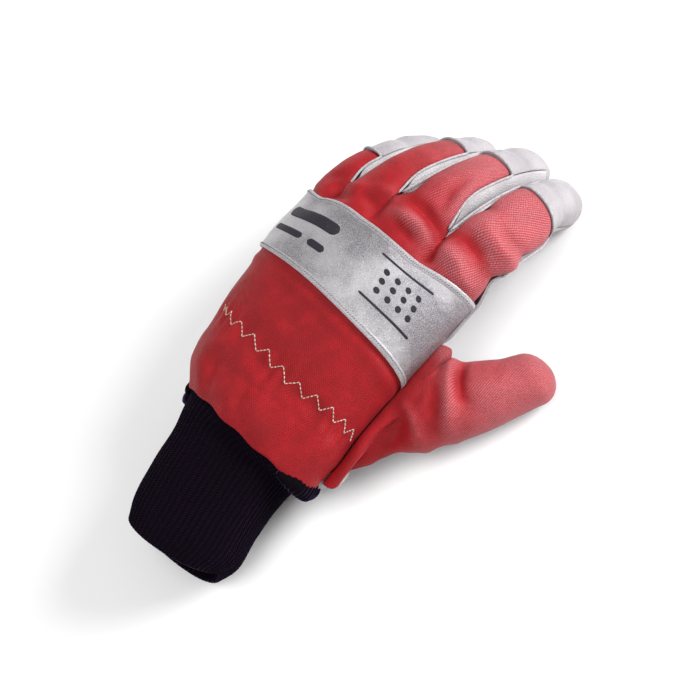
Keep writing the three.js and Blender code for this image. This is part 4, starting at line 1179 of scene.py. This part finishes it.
def back_panel():
    sheet = Sheet()
    columns = hand_columns(STEPS)
    u, v = np.meshgrid(columns, np.linspace(0, 1, ROWS + 1))
    point, outward = back_skin(u, v)
    rim = 0.9 * (v <= 0) * smooth(0, 0.02, np.minimum(u, 1 - u))
    relief = marks_relief(point, BACK_MARKS) * (1 - held_flat(u, v))
    hand = sheet.points(point, -outward, back_wall(u, v), rim, relief)
    sheet.patch(hand, cloth_uv(u, v * HAND_LENGTH))
    for i, finger in enumerate(FINGERS):
        end = finger["red"] - HALF_GAP / finger["length"]
        rows = max(12, int(end * finger["length"] / 0.9))
        share, k = np.meshgrid(np.linspace(0, end, rows + 1), np.linspace(0, 1, STEPS + 1), indexing="ij")
        skin = finger_skin(i, share, inset(finger, k, True, share))
        add_finger(sheet, hand, i, (share, k), skin, SEAM_WALL, marks_relief(skin[0][1:], BACK_MARKS))
    return sheet.build("cloth_back", RED)


back = fit_out(back_panel(), "red_cloth", "back_panel")


# Leather palm with the fronts of the fingers

def palm_folds(points):
    stretch = points * np.array([0.55, 1.0, 0.6])
    return 0.5 * noise(stretch, 11, 21) + 0.18 * noise(points, 4.5, 23)


def palm_skin(u, v):
    point = hand_point(u, v, False)
    outward = -hand_inward(u, v, False)
    crease = -1.3 * hump((v - 0.62 - 0.10 * np.sin(3 * u)) * HAND_LENGTH, 2.2)
    crease += -1.1 * hump((v - 0.40 - 0.25 * (u - 0.5)) * HAND_LENGTH, 2.5)
    inside = smooth(0.05, 0.2, u) * (1 - smooth(0.8, 0.95, u))
    ridge = 3.2 * smooth(0.86, 0.99, u) * smooth(0.66, 0.76, v) * (1 - smooth(0.9, 1, v))
    height = palm_folds(point) + crease * inside + ridge + edge_dive((1 - u) * BACK_GIRTH) * (v < 0.66)
    return point + outward * height[..., None], outward


def palm_panel():
    sheet = Sheet()
    steps, rows = 28, 110
    u, v = np.meshgrid(hand_columns(steps), np.linspace(0, 1, rows + 1))
    point, outward = palm_skin(u, v)
    hand = sheet.points(point, -outward, LEATHER_WALL, 0.6 * (v <= 0))
    sheet.patch(hand, cloth_uv(u, v * HAND_LENGTH))
    for i, finger in enumerate(FINGERS):
        end = cap_start(finger)
        count = int(end * finger["length"] / 1.2)
        share, k = np.meshgrid(np.linspace(0, end, count + 1), np.linspace(0, 1, steps + 1), indexing="ij")
        across = inset(finger, k, False, share)
        point = finger_point(i, share, across, False)
        outward = -row_inward(i, across, False, share)
        bend = -0.9 * hump((share - 0.42) * finger["length"], 2.0)
        bend += -0.7 * hump((share - 0.7) * finger["length"], 2.0)
        height = palm_folds(point) + bend * smooth(0, 0.25, np.minimum(k, 1 - k))
        skin = point + outward * height[..., None], outward
        add_finger(sheet, hand, i, (share, k), skin, LEATHER_WALL)
    return sheet.build("leather_palm", LEATHER)


palm = fit_out(palm_panel(), "light_leather", "palm_panel")


# Leather strips between the fingers

def fourchette_point(i, is_right, share, down):
    finger = FINGERS[i]
    which = 1 if is_right else 0
    start, end = seams(finger, True, share)[which], finger["front"][which]
    if is_right:
        end -= FULL_TURN
    k = i + 1 if is_right else i
    near_crotch = 1 - smooth(0, FINGER_BLEND * STRIP_BLEND / finger["length"], share)
    tuck = (SEAM_WALL + SEAM_GAP + CROTCH_TUCK) * near_crotch + HALF_GAP
    edge = tuck / (np.radians(np.abs(end - start)) * finger["half_depth"])
    spot = lerp(edge, 1 - edge, down)
    degrees = lerp(start, end, spot)
    ahead = finger_frame(finger, 0.0)[0]
    corner = mix(CROTCHES["back"][k], CROTCHES["front"][k], spot) + ahead * (LEATHER_WALL + SEAM_GAP)
    first = lerp(finger["back"][which], end, spot)
    change = corner - tube(finger, 0, first)
    point = tube(finger, share, degrees) + change * crotch_fade(finger, share)
    turned = smooth(0, STRIP_TURN / finger["length"], share)
    return point, unit(mix(-ahead, tube_inward(finger, share, degrees), turned))


def fourchette(i):
    sheet = Sheet()
    rows, columns = 46, 14
    ends = [cap_start(f) for f in FINGERS[i:i + 2]]
    down = np.linspace(0, 1, columns + 1)
    shares = np.linspace(1, 0, rows + 1)
    one = fourchette_point(i, True, *together((ends[0] * shares)[:, None], down))
    other = fourchette_point(i + 1, False, *together((ends[1] * shares[::-1])[:, None], down))
    middle = (one[0][-1] + other[0][0]) / 2, unit(one[1][-1] + other[1][0])
    point = np.vstack([one[0][:-1], middle[0][None], other[0][1:]])
    inward = np.vstack([one[1][:-1], middle[1][None], other[1][1:]])
    point = point - inward * (0.3 * noise(point, 8, 31) * np.sin(math.pi * down) ** 0.5)[..., None]
    length = np.arange(point.shape[0])[:, None] * 1.4 + 0 * down
    numbers = sheet.points(point, inward, LEATHER_WALL)
    sheet.patch(numbers, np.stack([down * 20 + 0 * length, length], -1))
    name = f"{FINGERS[i]['name']}_{FINGERS[i + 1]['name']}"
    return fit_out(sheet.build(f"leather_strip_{name}", LIGHTENED_STRIP_LEATHER), "light_leather", f"fourchette_{name}")


for strip in [fourchette(i) for i in range(len(FINGERS) - 1)]:
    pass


# Leather fingertips

TIP_DEGREE = 0.22  # millimetres of leather to a degree round the finger


def fingertip(finger):
    sheet = Sheet()
    cap = 1 - (CAP_LENGTH - HALF_GAP) / finger["length"]
    tongue = finger["red"] + HALF_GAP / finger["length"]
    gap = math.degrees(HALF_GAP / finger["half_depth"])
    start, end = seams(finger, True, 1.0)[1] + gap, finger["back"][0] - gap
    front, rest = 26, 34
    angles = np.r_[np.linspace(start, end, front + 1), np.linspace(end, start + FULL_TURN, rest + 1)[1:]]
    round_end = finger["half_width"] * ROUND_END / finger["length"]
    dome = 1 - round_end + round_end * np.sin(np.linspace(0, math.pi / 2, 15))
    if dome[0] > cap + 0.01:
        shares = np.r_[np.linspace(cap, dome[0], 4)[:-1], dome]
    else:
        shares = np.r_[cap, dome[dome > cap + 0.004]]
    share, degrees = np.meshgrid(shares, angles, indexing="ij")
    point, inward = tube(finger, share, degrees), tube_inward(finger, share, degrees)
    seam = 0.5 * hump((share - shares[0]) * finger["length"], 1.0)
    point = point - inward * (0.28 * noise(point, 7, 41) - seam)[..., None]
    numbers = sheet.points(point[:-1], inward[:-1], LEATHER_WALL)
    numbers[:, -1] = numbers[:, 0]
    numbers = add_pole(sheet, numbers, point, inward, LEATHER_WALL)
    sheet.patch(numbers, np.stack([degrees * TIP_DEGREE, share * finger["length"]], -1))
    rows = max(6, int((cap - tongue) * finger["length"] / 1.2))
    share, degrees = np.meshgrid(np.linspace(tongue, cap, rows + 1), angles[:front + 1], indexing="ij")
    point, inward = tube(finger, share, degrees), tube_inward(finger, share, degrees)
    fold = -0.7 * hump((share - lerp(tongue, cap, 0.45)) * finger["length"], 2.4)
    height = (0.3 * noise(point, 7, 41) + fold) * smooth(cap, cap - 0.03, share)
    point = point - inward * height[..., None]
    strip = np.empty(share.shape, int)
    strip[-1] = numbers[0, :front + 1]
    strip[:-1] = sheet.points(point[:-1], inward[:-1], LEATHER_WALL)
    sheet.patch(strip, np.stack([degrees * TIP_DEGREE, share * finger["length"]], -1))
    name = finger["name"]
    return fit_out(sheet.build(f"leather_tip_{name}", LEATHER), "light_leather", f"fingertip_cap_{name}")


for tip in [fingertip(f) for f in FINGERS]:
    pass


# Welts along the finger seams and round the red ends

PIPING_RADIUS = 0.62


def welt(i):
    finger = FINGERS[i]
    lift = PIPING_RADIUS * 0.6
    first = 5.0 / finger["length"]
    out = np.linspace(first, finger["red"], 34)
    across = np.linspace(0, 1, 26)[1:-1]
    share = np.r_[out, np.full(len(across), finger["red"]), out[::-1]]
    side = np.r_[np.zeros(len(out)), across, np.ones(len(out))]
    path = finger_point(i, share, side, True) - row_inward(i, side, True, share) * lift
    for _ in range(2):
        path[1:-1] = (path[:-2] + 2 * path[1:-1] + path[2:]) / 4
    name = finger["name"]
    return bars(f"piping_{name}", [path], PIPING_RADIUS, 10, WELT, f"welt_{name}")


for i in range(len(FINGERS)):
    welt(i)


# Reflective band

BAND_INSET = 0.008  # share of the girth by which the band stops short of the side seams
BAND_WIDTH = 42  # nominal, its print and its weave are laid out in these millimetres
MARK_TOP, MARK_UNDER = 0.07, -0.05  # how far the print's two skins lie from the band's surface
HEM_SHARE = 0.055  # of the band's width
HEM_OVERHANG = 0.012  # of the same, beyond the band's edge


def band_skin(u, share, lift=0.0):
    v = lerp(along(BAND_EDGES, "low", u), along(BAND_EDGES, "high", u), share)
    point, outward = bridged(u, v), -hand_inward(u, v, True)
    from_edge = arch(share)
    ripple = (0.8 * noise(point, 21, 51) + 0.16 * noise(point, 7, 53) + 0.5) * from_edge
    gap = LAYER_GAP + BAND_WALL + lift + ripple
    return point + outward * gap[..., None], outward


def band():
    sheet = Sheet()
    u, share = np.meshgrid(np.linspace(BAND_INSET, 1 - BAND_INSET, 170), np.linspace(0, 1, 56))
    point, outward = band_skin(u, share)
    numbers = sheet.points(point, -outward, BAND_WALL, 0.5)
    sheet.patch(numbers, cloth_uv(u, share * BAND_WIDTH))
    return fit_out(sheet.build("band_cloth", SILVER), "silver_band", "reflective_band")


silver = band()


def on_band(x, y, lift):
    """A point of the band by millimetres along and across it."""
    return band_skin(np.asarray(x, float) / BACK_GIRTH + 0.5, np.asarray(y, float) / BAND_WIDTH, lift)[0]


def band_patch(x, y):
    """A thin printed patch whose grid of millimetre places is x, y."""
    top, under = on_band(x, y, MARK_TOP), on_band(x, y, MARK_UNDER)
    rows, columns = x.shape
    at = np.arange(rows * columns).reshape(rows, columns)
    quads = np.stack([at[:-1, :-1], at[:-1, 1:], at[1:, 1:], at[1:, :-1]], -1).reshape(-1, 4)
    count = rows * columns
    loop = np.r_[at[0, :-1], at[:-1, -1], at[-1, :0:-1], at[:0:-1, 0]]
    after = np.roll(loop, -1)
    faces = quads.tolist() + (quads[:, ::-1] + count).tolist()
    faces += [[b, a, a + count, b + count] for a, b in zip(loop.tolist(), after.tolist())]
    return np.vstack([top.reshape(-1, 3), under.reshape(-1, 3)]), faces


def bar(x0, x1, y0, y1):
    """A bar with rounded ends."""
    t = np.linspace(0, 1, max(12, int((x1 - x0) / 0.8)))
    radius = (y1 - y0) / 2
    low = np.minimum(t * (x1 - x0), (1 - t) * (x1 - x0))
    half = radius * np.sqrt(np.clip(1 - np.clip(1 - low / radius, 0, 1) ** 2, 0.02, 1))
    s = np.linspace(-1, 1, max(4, int((y1 - y0) / 0.8)))
    return np.broadcast_to(lerp(x0, x1, t), (len(s), len(t))), (y0 + y1) / 2 + s[:, None] * half


def dot_mark(x, y, radius):
    angle = np.linspace(0, 2 * math.pi, 25)
    r = np.linspace(0.02, 1, 4)[:, None] * radius
    return x + r * np.cos(angle), y + r * np.sin(angle)


PRINT = [
    bar(-46, -8, 24, 31), bar(-46, -22, 13, 17), bar(-18, -8, 13, 17),
    bar(14, 44, 33, 34.2), bar(14, 44, 11, 12.2),
    *[dot_mark(x, y, 1.5) for x in (20, 26, 32, 38) for y in (17.5, 22.5, 27.5)],
]


def band_print():
    points, faces, base = [], [], 0
    for x, y in PRINT:
        more, new = band_patch(*np.broadcast_arrays(x, y))
        points.append(more)
        faces += [[k + base for k in face] for face in new]
        base += len(more)
    return fit_out(make_object("band_marks", np.vstack(points), faces, INK), "silver_band")


marks = band_print()


# Stitches

def stitch(surface, start, end, rise):
    """A stitch's path on a surface between two of its places, arched by rise."""
    t = np.linspace(0, 1, 5)
    point, outward = surface(lerp(start[0], end[0], t), lerp(start[1], end[1], t))
    return point + outward * (np.sin(math.pi * t) * rise)[:, None]


def band_hem(name, low, high):
    """A folded hem along one edge of the band."""
    sheet = Sheet()
    start, end = BAND_INSET - 0.001, 1 - BAND_INSET + 0.001
    u, share = np.meshgrid(np.linspace(start, end, 240), np.linspace(low, high, 9))
    crown = 0.35 * np.sin(math.pi * (share - low) / (high - low)) ** 0.5
    point, outward = band_skin(u, share)
    numbers = sheet.points(point + outward * (0.18 + crown)[..., None], -outward, 0.3, 0.8)
    sheet.patch(numbers, cloth_uv(u, share * BAND_WIDTH))
    return fit_out(sheet.build(name, HEM), "silver_band")


def band_stitches():
    def surface(u, share):
        return band_skin(u, share, 0.42)

    paths = []
    for row in (HEM_SHARE * 0.55, 1 - HEM_SHARE * 0.55):
        for u in np.arange(BAND_INSET + 0.004, 1 - BAND_INSET - 0.004, 1.2 / BACK_GIRTH):
            paths.append(stitch(surface, (u, row - 0.006), (u + 0.0055, row + 0.006), 0.15))
    return bars("band_stitches", paths, 0.2, 5, GREY)


hems = [
    band_hem("band_hem_wrist", -HEM_OVERHANG, HEM_SHARE),
    band_hem("band_hem_fingers", 1 - HEM_SHARE, 1 + HEM_OVERHANG),
]
band_stitches()

ZIGZAG = {"at": [0.2, 0.25, 0.475, 0.6, 0.75, 0.93], "v": [0.345, 0.325, 0.262, 0.229, 0.232, 0.228]}
ZIG_FROM, ZIG_TO = 0.195, 0.945  # shares of the back's girth
ZIG_PITCH = 9.3
ZIG_SWING = 2.5
DASHES = 4  # stitches on each straight stretch


def zigzag():
    count = int((ZIG_TO - ZIG_FROM) * BACK_GIRTH / ZIG_PITCH * 2)
    u = np.linspace(ZIG_FROM, ZIG_TO, count + 1)
    u = np.r_[np.linspace(u[0], u[2], 5), u[3:]]
    swing = np.where(np.arange(len(u)) % 2 == 0, 1, -1) * ZIG_SWING / HAND_LENGTH
    swing[:4] *= 0.6
    v = along(ZIGZAG, "v", u) + swing
    paths = []
    for k in range(len(u) - 1):
        for d in range(DASHES):
            a, b = (d + 0.06) / DASHES, (d + 0.9) / DASHES
            start = lerp(u[k], u[k + 1], a), lerp(v[k], v[k + 1], a)
            end = lerp(u[k], u[k + 1], b), lerp(v[k], v[k + 1], b)
            paths.append(stitch(back_skin, start, end, 0.25))
    return bars("gather_stitches", paths, 0.29, 6, CREAM)


zigzag()


# Thumb

FOLD_RADIUS = 4.8
FOLD_FADE = (0.13, 0.29)  # turns over which the rolled fold runs out
WRIST_TUCK = 4.5  # how far the leather beside the rolled fold draws in under it
TUCK_WAY = np.array([-0.95, 0.2, 0])


def rolled(point, inward, seam, turn):
    """The thumb's cloth rolls in a thick fold along its lower seam."""
    away = np.linalg.norm(point - seam, axis=-1)
    out = unit(point[min(30, len(point) - 1)] - seam[0])
    up = unit(-inward[0] - out * dot(-inward[0], out)[..., None])
    arc = math.pi * FOLD_RADIUS
    angle = math.pi * np.clip(away / arc, 0, 1)
    reach = FOLD_RADIUS * (1 - np.cos(angle)) + np.maximum(away - arc, 0)
    rise = FOLD_RADIUS * 1.15 * np.sin(angle) - 1.8 * smooth(0.7, 1, angle / math.pi)
    fold = seam + out * reach[..., None] + up * rise[..., None]
    fold = mix(fold, point, smooth(arc * 0.9, arc * 2, away))
    full = 1 - smooth(*FOLD_FADE, turn)
    return mix(point, fold, full), away


def thumb_skin(share, turn, is_back):
    share, turn = together(share, turn)
    point = thumb_point(share, turn)
    inward = thumb_inward(share, turn)
    if is_back:
        point, away = rolled(point, inward, thumb_point(np.zeros_like(share), turn), turn)
        inward = from_faces(point, inward)
        height = 1.3 * smooth(*FOLD_FADE, turn) * arch(away / 12)
        height += marks_relief(point, THUMB_MARKS) * smooth(4, 12, away)
        height += 0.3 * noise(point, 12, 61) + 0.12 * noise(point, 5, 63)
        edge = np.minimum(turn, 0.5 - turn) * THUMB_WIDTH * math.pi
        height += edge_dive(edge) * 0.7 * smooth(0.05, 0.2, share)
        return point - inward * height[..., None], inward
    height = palm_folds(point) * smooth(0, 0.1, share)
    rim_share = share[:, :1] + np.zeros(2)
    rim = thumb_skin(rim_share, 0 * rim_share, True)[0][:, :1] - thumb_point(rim_share[:, :1], 0)
    follow = 1 - smooth(0.9, 1, turn)
    point = point - inward * (height * follow)[..., None]
    tuck = WRIST_TUCK * hump(turn - 0.92, 0.05) * arch(share / 0.3)
    return point + rim * (1 - follow)[..., None] + tuck[..., None] * TUCK_WAY, inward


def from_faces(point, inward):
    """Directions into the wall, taken from a grid of points and turned the way the given ones go."""
    normal = unit(np.cross(np.gradient(point, axis=0), np.gradient(point, axis=1)))
    normal = normal * np.sign(dot(normal, inward).mean())
    return unit(mix(normal, inward, 0.25))


def thumb_half(is_back, wall, name, look):
    sheet = Sheet()
    first = 1.5 * HALF_GAP / THUMB_LENGTH
    shares = np.r_[np.linspace(first, 0.2, 42), np.linspace(0.2, 0.9, 64)[1:],
                   1 - THUMB_DOME + THUMB_DOME * np.sin(np.linspace(0, math.pi / 2, 16))[1:]]
    turns = np.linspace(0, 0.5, 96)
    share, turn = np.meshgrid(shares, turns if is_back else 1 - turns, indexing="ij")
    girth = math.pi * THUMB_WIDTH * lerp(THUMB_BASE_GIRTH, THUMB_TIP_GIRTH, share)
    edge = HALF_GAP / girth * lerp(4, 1, smooth(0, 0.15, share))
    turn = np.clip(turn, edge, 0.5 - edge) if is_back else np.clip(turn, 0.5 + edge, 1 - edge)
    point, inward = thumb_skin(share, turn, is_back)
    numbers = sheet.points(point[:-1], inward[:-1], wall, 0.0, marks_relief(point[:-1], THUMB_MARKS))
    numbers = add_pole(sheet, numbers, point, inward, wall)
    sheet.patch(numbers, np.stack([turn * 120, share * THUMB_LENGTH * 1.2], -1))
    return sheet.build(name, look)


thumb_top = fit_out(thumb_half(True, SEAM_WALL, "cloth_thumb", RED), "red_cloth", "thumb_back")
thumb_leather = thumb_half(False, LEATHER_WALL, "leather_thumb", LEATHER)
thumb_under = fit_out(thumb_leather, "light_leather", "thumb_palm")


# Knitted cuff

RIBS = 66
RIB_SAMPLES = 8  # points round each rib
RIB_RELIEF = 1.05  # depth of the grooves between ribs
TUCK_ROWS = 6  # rows of the knit inside the wrist


def cuff():
    sheet = Sheet()
    turns = np.arange(RIBS * RIB_SAMPLES + 1) / (RIBS * RIB_SAMPLES)
    shares = np.r_[np.linspace(0, 0.97, 62), np.linspace(0.985, 1, 3)]
    turn, share = np.meshgrid(turns, shares)
    ring = cuff_ring(share, turn)
    tucked = tucked_point(0.0, turns)
    joined = np.broadcast_to(tucked, ring.shape).copy()
    joined[..., 1] = ring[..., 1]
    outer = mix(ring, joined, smooth(0.85, 1, share))
    tuck = [tucked_point(depth, turns)[None] for depth in np.linspace(0.8, CUFF_TUCK, TUCK_ROWS)]
    outer = np.vstack([outer, *tuck])
    centre = outer[:, :-1].mean(1, keepdims=True)
    toward = centre - outer
    toward[..., 1] = 0
    toward[..., 0] *= 0.5
    toward = unit(toward)
    turn = np.broadcast_to(turns, outer.shape[:-1])
    sway = 0.0012 * noise(vec(turn * 200, outer[..., 1], 0 * turn), 9, 71)
    groove = 1 - np.abs(np.cos(math.pi * RIBS * (turn + sway * np.sin(2 * math.pi * turn) ** 2)))
    drape = 0.8 * noise(outer * np.array([1, 0.45, 1]), 14, 73)
    drape *= arch(np.r_[shares, np.ones(TUCK_ROWS)])[:, None] ** 0.5
    outer = outer + toward * (RIB_RELIEF * groove - drape)[..., None]
    numbers = sheet.points(outer, toward, KNIT_WALL, 0.8)
    numbers[:, -1] = numbers[:, 0]
    sheet.patch(numbers, np.stack([turn * RIBS, outer[..., 1]], -1))
    return fit_out(sheet.build("knit_cuff", KNIT), "dark_knit", "wrist_cuff")


knit = cuff()

LIP_CENTRE = 30  # how far inside the wrist the point lies that an edge of knit turns round


def wrist_lip(name, first, last, height, proud, sunk):
    """A turned-over edge of the knit that shows below the wrist seam, between two places round the wrist."""
    turns = np.linspace(first, last, 60)
    edge = np.array([cuff_wrist(turn) for turn in turns])
    inward = -LIP_CENTRE if first > 0 else LIP_CENTRE
    centre = np.array([edge[:, 0].mean() + inward, 0, CUFF_DEPTH / 2])
    outward = edge - centre
    outward[:, 1] = 0
    outward = unit(outward)
    angle = np.linspace(0, 2 * math.pi, 21)[:-1]
    taper = np.sin(math.pi * np.linspace(0.03, 0.97, len(turns))) ** 0.5
    ribs = 1 + 0.1 * np.cos(2 * math.pi * RIBS * turns)
    size = (taper * ribs)[:, None, None]
    ring = outward[:, None] * (proud / 2 * np.cos(angle))[:, None]
    ring = ring + np.array([0, 1.0, 0]) * (height / 2 * np.sin(angle))[:, None]
    reach = along(HEM_LINE, "reach", cuff_side(turns)[1])
    drop = np.where(turns % 1 <= 0.5, reach, 0) + height * 0.2
    start = edge - outward * (proud * sunk) - drop[:, None] * np.array([0, 1.0, 0])
    rings = start[:, None] + ring * size
    rings = rings + outward[:, None] * (0.5 * noise(rings, 5, 81))[..., None]
    rings[..., 2] = np.maximum(rings[..., 2], 0.1)
    count = len(angle)
    faces = []
    for base in range(0, (len(turns) - 1) * count, count):
        for a in range(count):
            b = (a + 1) % count
            faces.append([base + a, base + b, base + count + b, base + count + a])
    faces += [list(range(count))[::-1], [(len(turns) - 1) * count + a for a in range(count)]]
    return fit_out(make_object(name, rings.reshape(-1, 3), faces, LIP_KNIT), "dark_knit")


def cuff_wrist(turn):
    """The wrist's outline, as the seam pulls it."""
    is_back, u = cuff_side(np.array(turn))
    return hand_point(np.clip(u, NEAR_SEAM, 1 - NEAR_SEAM), 0 * u, bool(is_back))


lips = [
    wrist_lip("knit_lip_thumb_side", 0.37, 0.58, height=10, proud=6, sunk=0.3),
    wrist_lip("knit_lip_little_side", -0.06, 0.05, height=9, proud=5, sunk=0.1),
]


# Camera, light and floor

TOWARD_CAMERA = (0.44, -0.13, 0.887)
CAMERA_TURN = math.radians(54)  # of the picture's right, from the fingers' direction toward the thumb side
VIEW_BACK = unit(np.array(TOWARD_CAMERA))
AHEAD = unit(np.array([0, 1.0, 0]) - VIEW_BACK[1] * VIEW_BACK)
ASIDE = np.cross(AHEAD, VIEW_BACK)
VIEW_RIGHT = math.cos(CAMERA_TURN) * AHEAD + math.sin(CAMERA_TURN) * ASIDE
VIEW_UP = math.sin(CAMERA_TURN) * AHEAD - math.cos(CAMERA_TURN) * ASIDE
DISTANCE = 1100
MM_PER_PIXEL = 0.47
FOCUS = np.array([20.0, 60.0, 30.0])
FOCUS_AT = (362.1, 351.3)  # where the focus stands in the 700 by 700 frame
FRAME_SIZE = 700
SENSOR = 36
SKY_HEIGHTS = (0.02, 0.5)  # of the view direction, between which the sky's brightness changes
SKY_BRIGHTNESS = (0.72, 0.36)
FLOOR_HALF = 3.0
FLOOR_DROP = 0.0002  # metres below the glove


def turned_to(right, up, back, at):
    return Matrix([[right[k], up[k], back[k], at[k]] for k in range(3)] + [[0, 0, 0, 1]])


def add_camera():
    data = bpy.data.cameras.new("camera")
    data.sensor_width = SENSOR
    data.lens = SENSOR * DISTANCE / (FRAME_SIZE * MM_PER_PIXEL)
    data.shift_x = (FRAME_SIZE / 2 - FOCUS_AT[0]) / FRAME_SIZE
    data.shift_y = (FOCUS_AT[1] - FRAME_SIZE / 2) / FRAME_SIZE
    data.clip_start = 0.01
    camera = in_scene("camera", data)
    camera.matrix_world = turned_to(VIEW_RIGHT, VIEW_UP, VIEW_BACK, place(FOCUS + VIEW_BACK * DISTANCE))
    bpy.context.scene.camera = camera


def add_light(name, direction, distance, size, power):
    """A round lamp that shines at the focus: distance and size in metres, power in watts."""
    data = bpy.data.lights.new(name, "AREA")
    data.shape = "DISK"
    data.size = size
    data.energy = power
    light = in_scene(name, data)
    direction = unit(np.asarray(direction, float))
    side = unit(np.cross([0, 0, 1.0], direction))
    middle = place(FOCUS)
    light.matrix_world = turned_to(side, np.cross(direction, side), direction, middle + direction * distance)


def add_sky():
    """A white surround, brighter near the horizon than overhead."""
    world = bpy.data.worlds.new("studio")
    world.use_nodes = True
    sky = world.node_tree
    height = sky.nodes.new("ShaderNodeSeparateXYZ")
    dim = sky.nodes.new("ShaderNodeMapRange")
    dim.interpolation_type = "SMOOTHSTEP"
    for k, value in enumerate(SKY_HEIGHTS + SKY_BRIGHTNESS, 1):
        dim.inputs[k].default_value = value
    sky.links.new(sky.nodes.new("ShaderNodeTexCoord").outputs[0], height.inputs[0])
    sky.links.new(height.outputs[2], dim.inputs[0])
    sky.links.new(dim.outputs[0], sky.nodes["Background"].inputs[1])
    sky.nodes["Background"].inputs[0].default_value = (1, 1, 1, 1)
    bpy.context.scene.world = world


def add_floor():
    mesh = bpy.data.meshes.new("floor")
    corners = [(x * FLOOR_HALF, y * FLOOR_HALF, -FLOOR_DROP) for x, y in ((-1, -1), (1, -1), (1, 1), (-1, 1))]
    mesh.from_pydata(corners, [], [(0, 1, 2, 3)])
    floor = in_scene("floor", mesh)
    look = Look("pale_floor", base_color=(0.96, 0.96, 0.96, 1), roughness=0.9, specular_ior_level=0.0)
    mesh.materials.append(look.material)


add_camera()
add_light("key", VIEW_RIGHT * 0.74 + VIEW_UP * 0.5 + VIEW_BACK * 0.5, distance=1.6, size=0.9, power=33)
add_light("fill", VIEW_UP * 0.2 - VIEW_RIGHT * 0.6 + VIEW_BACK, distance=2.0, size=1.8, power=24)
add_sky()
add_floor()
bpy.context.scene.view_settings.view_transform = "Standard"
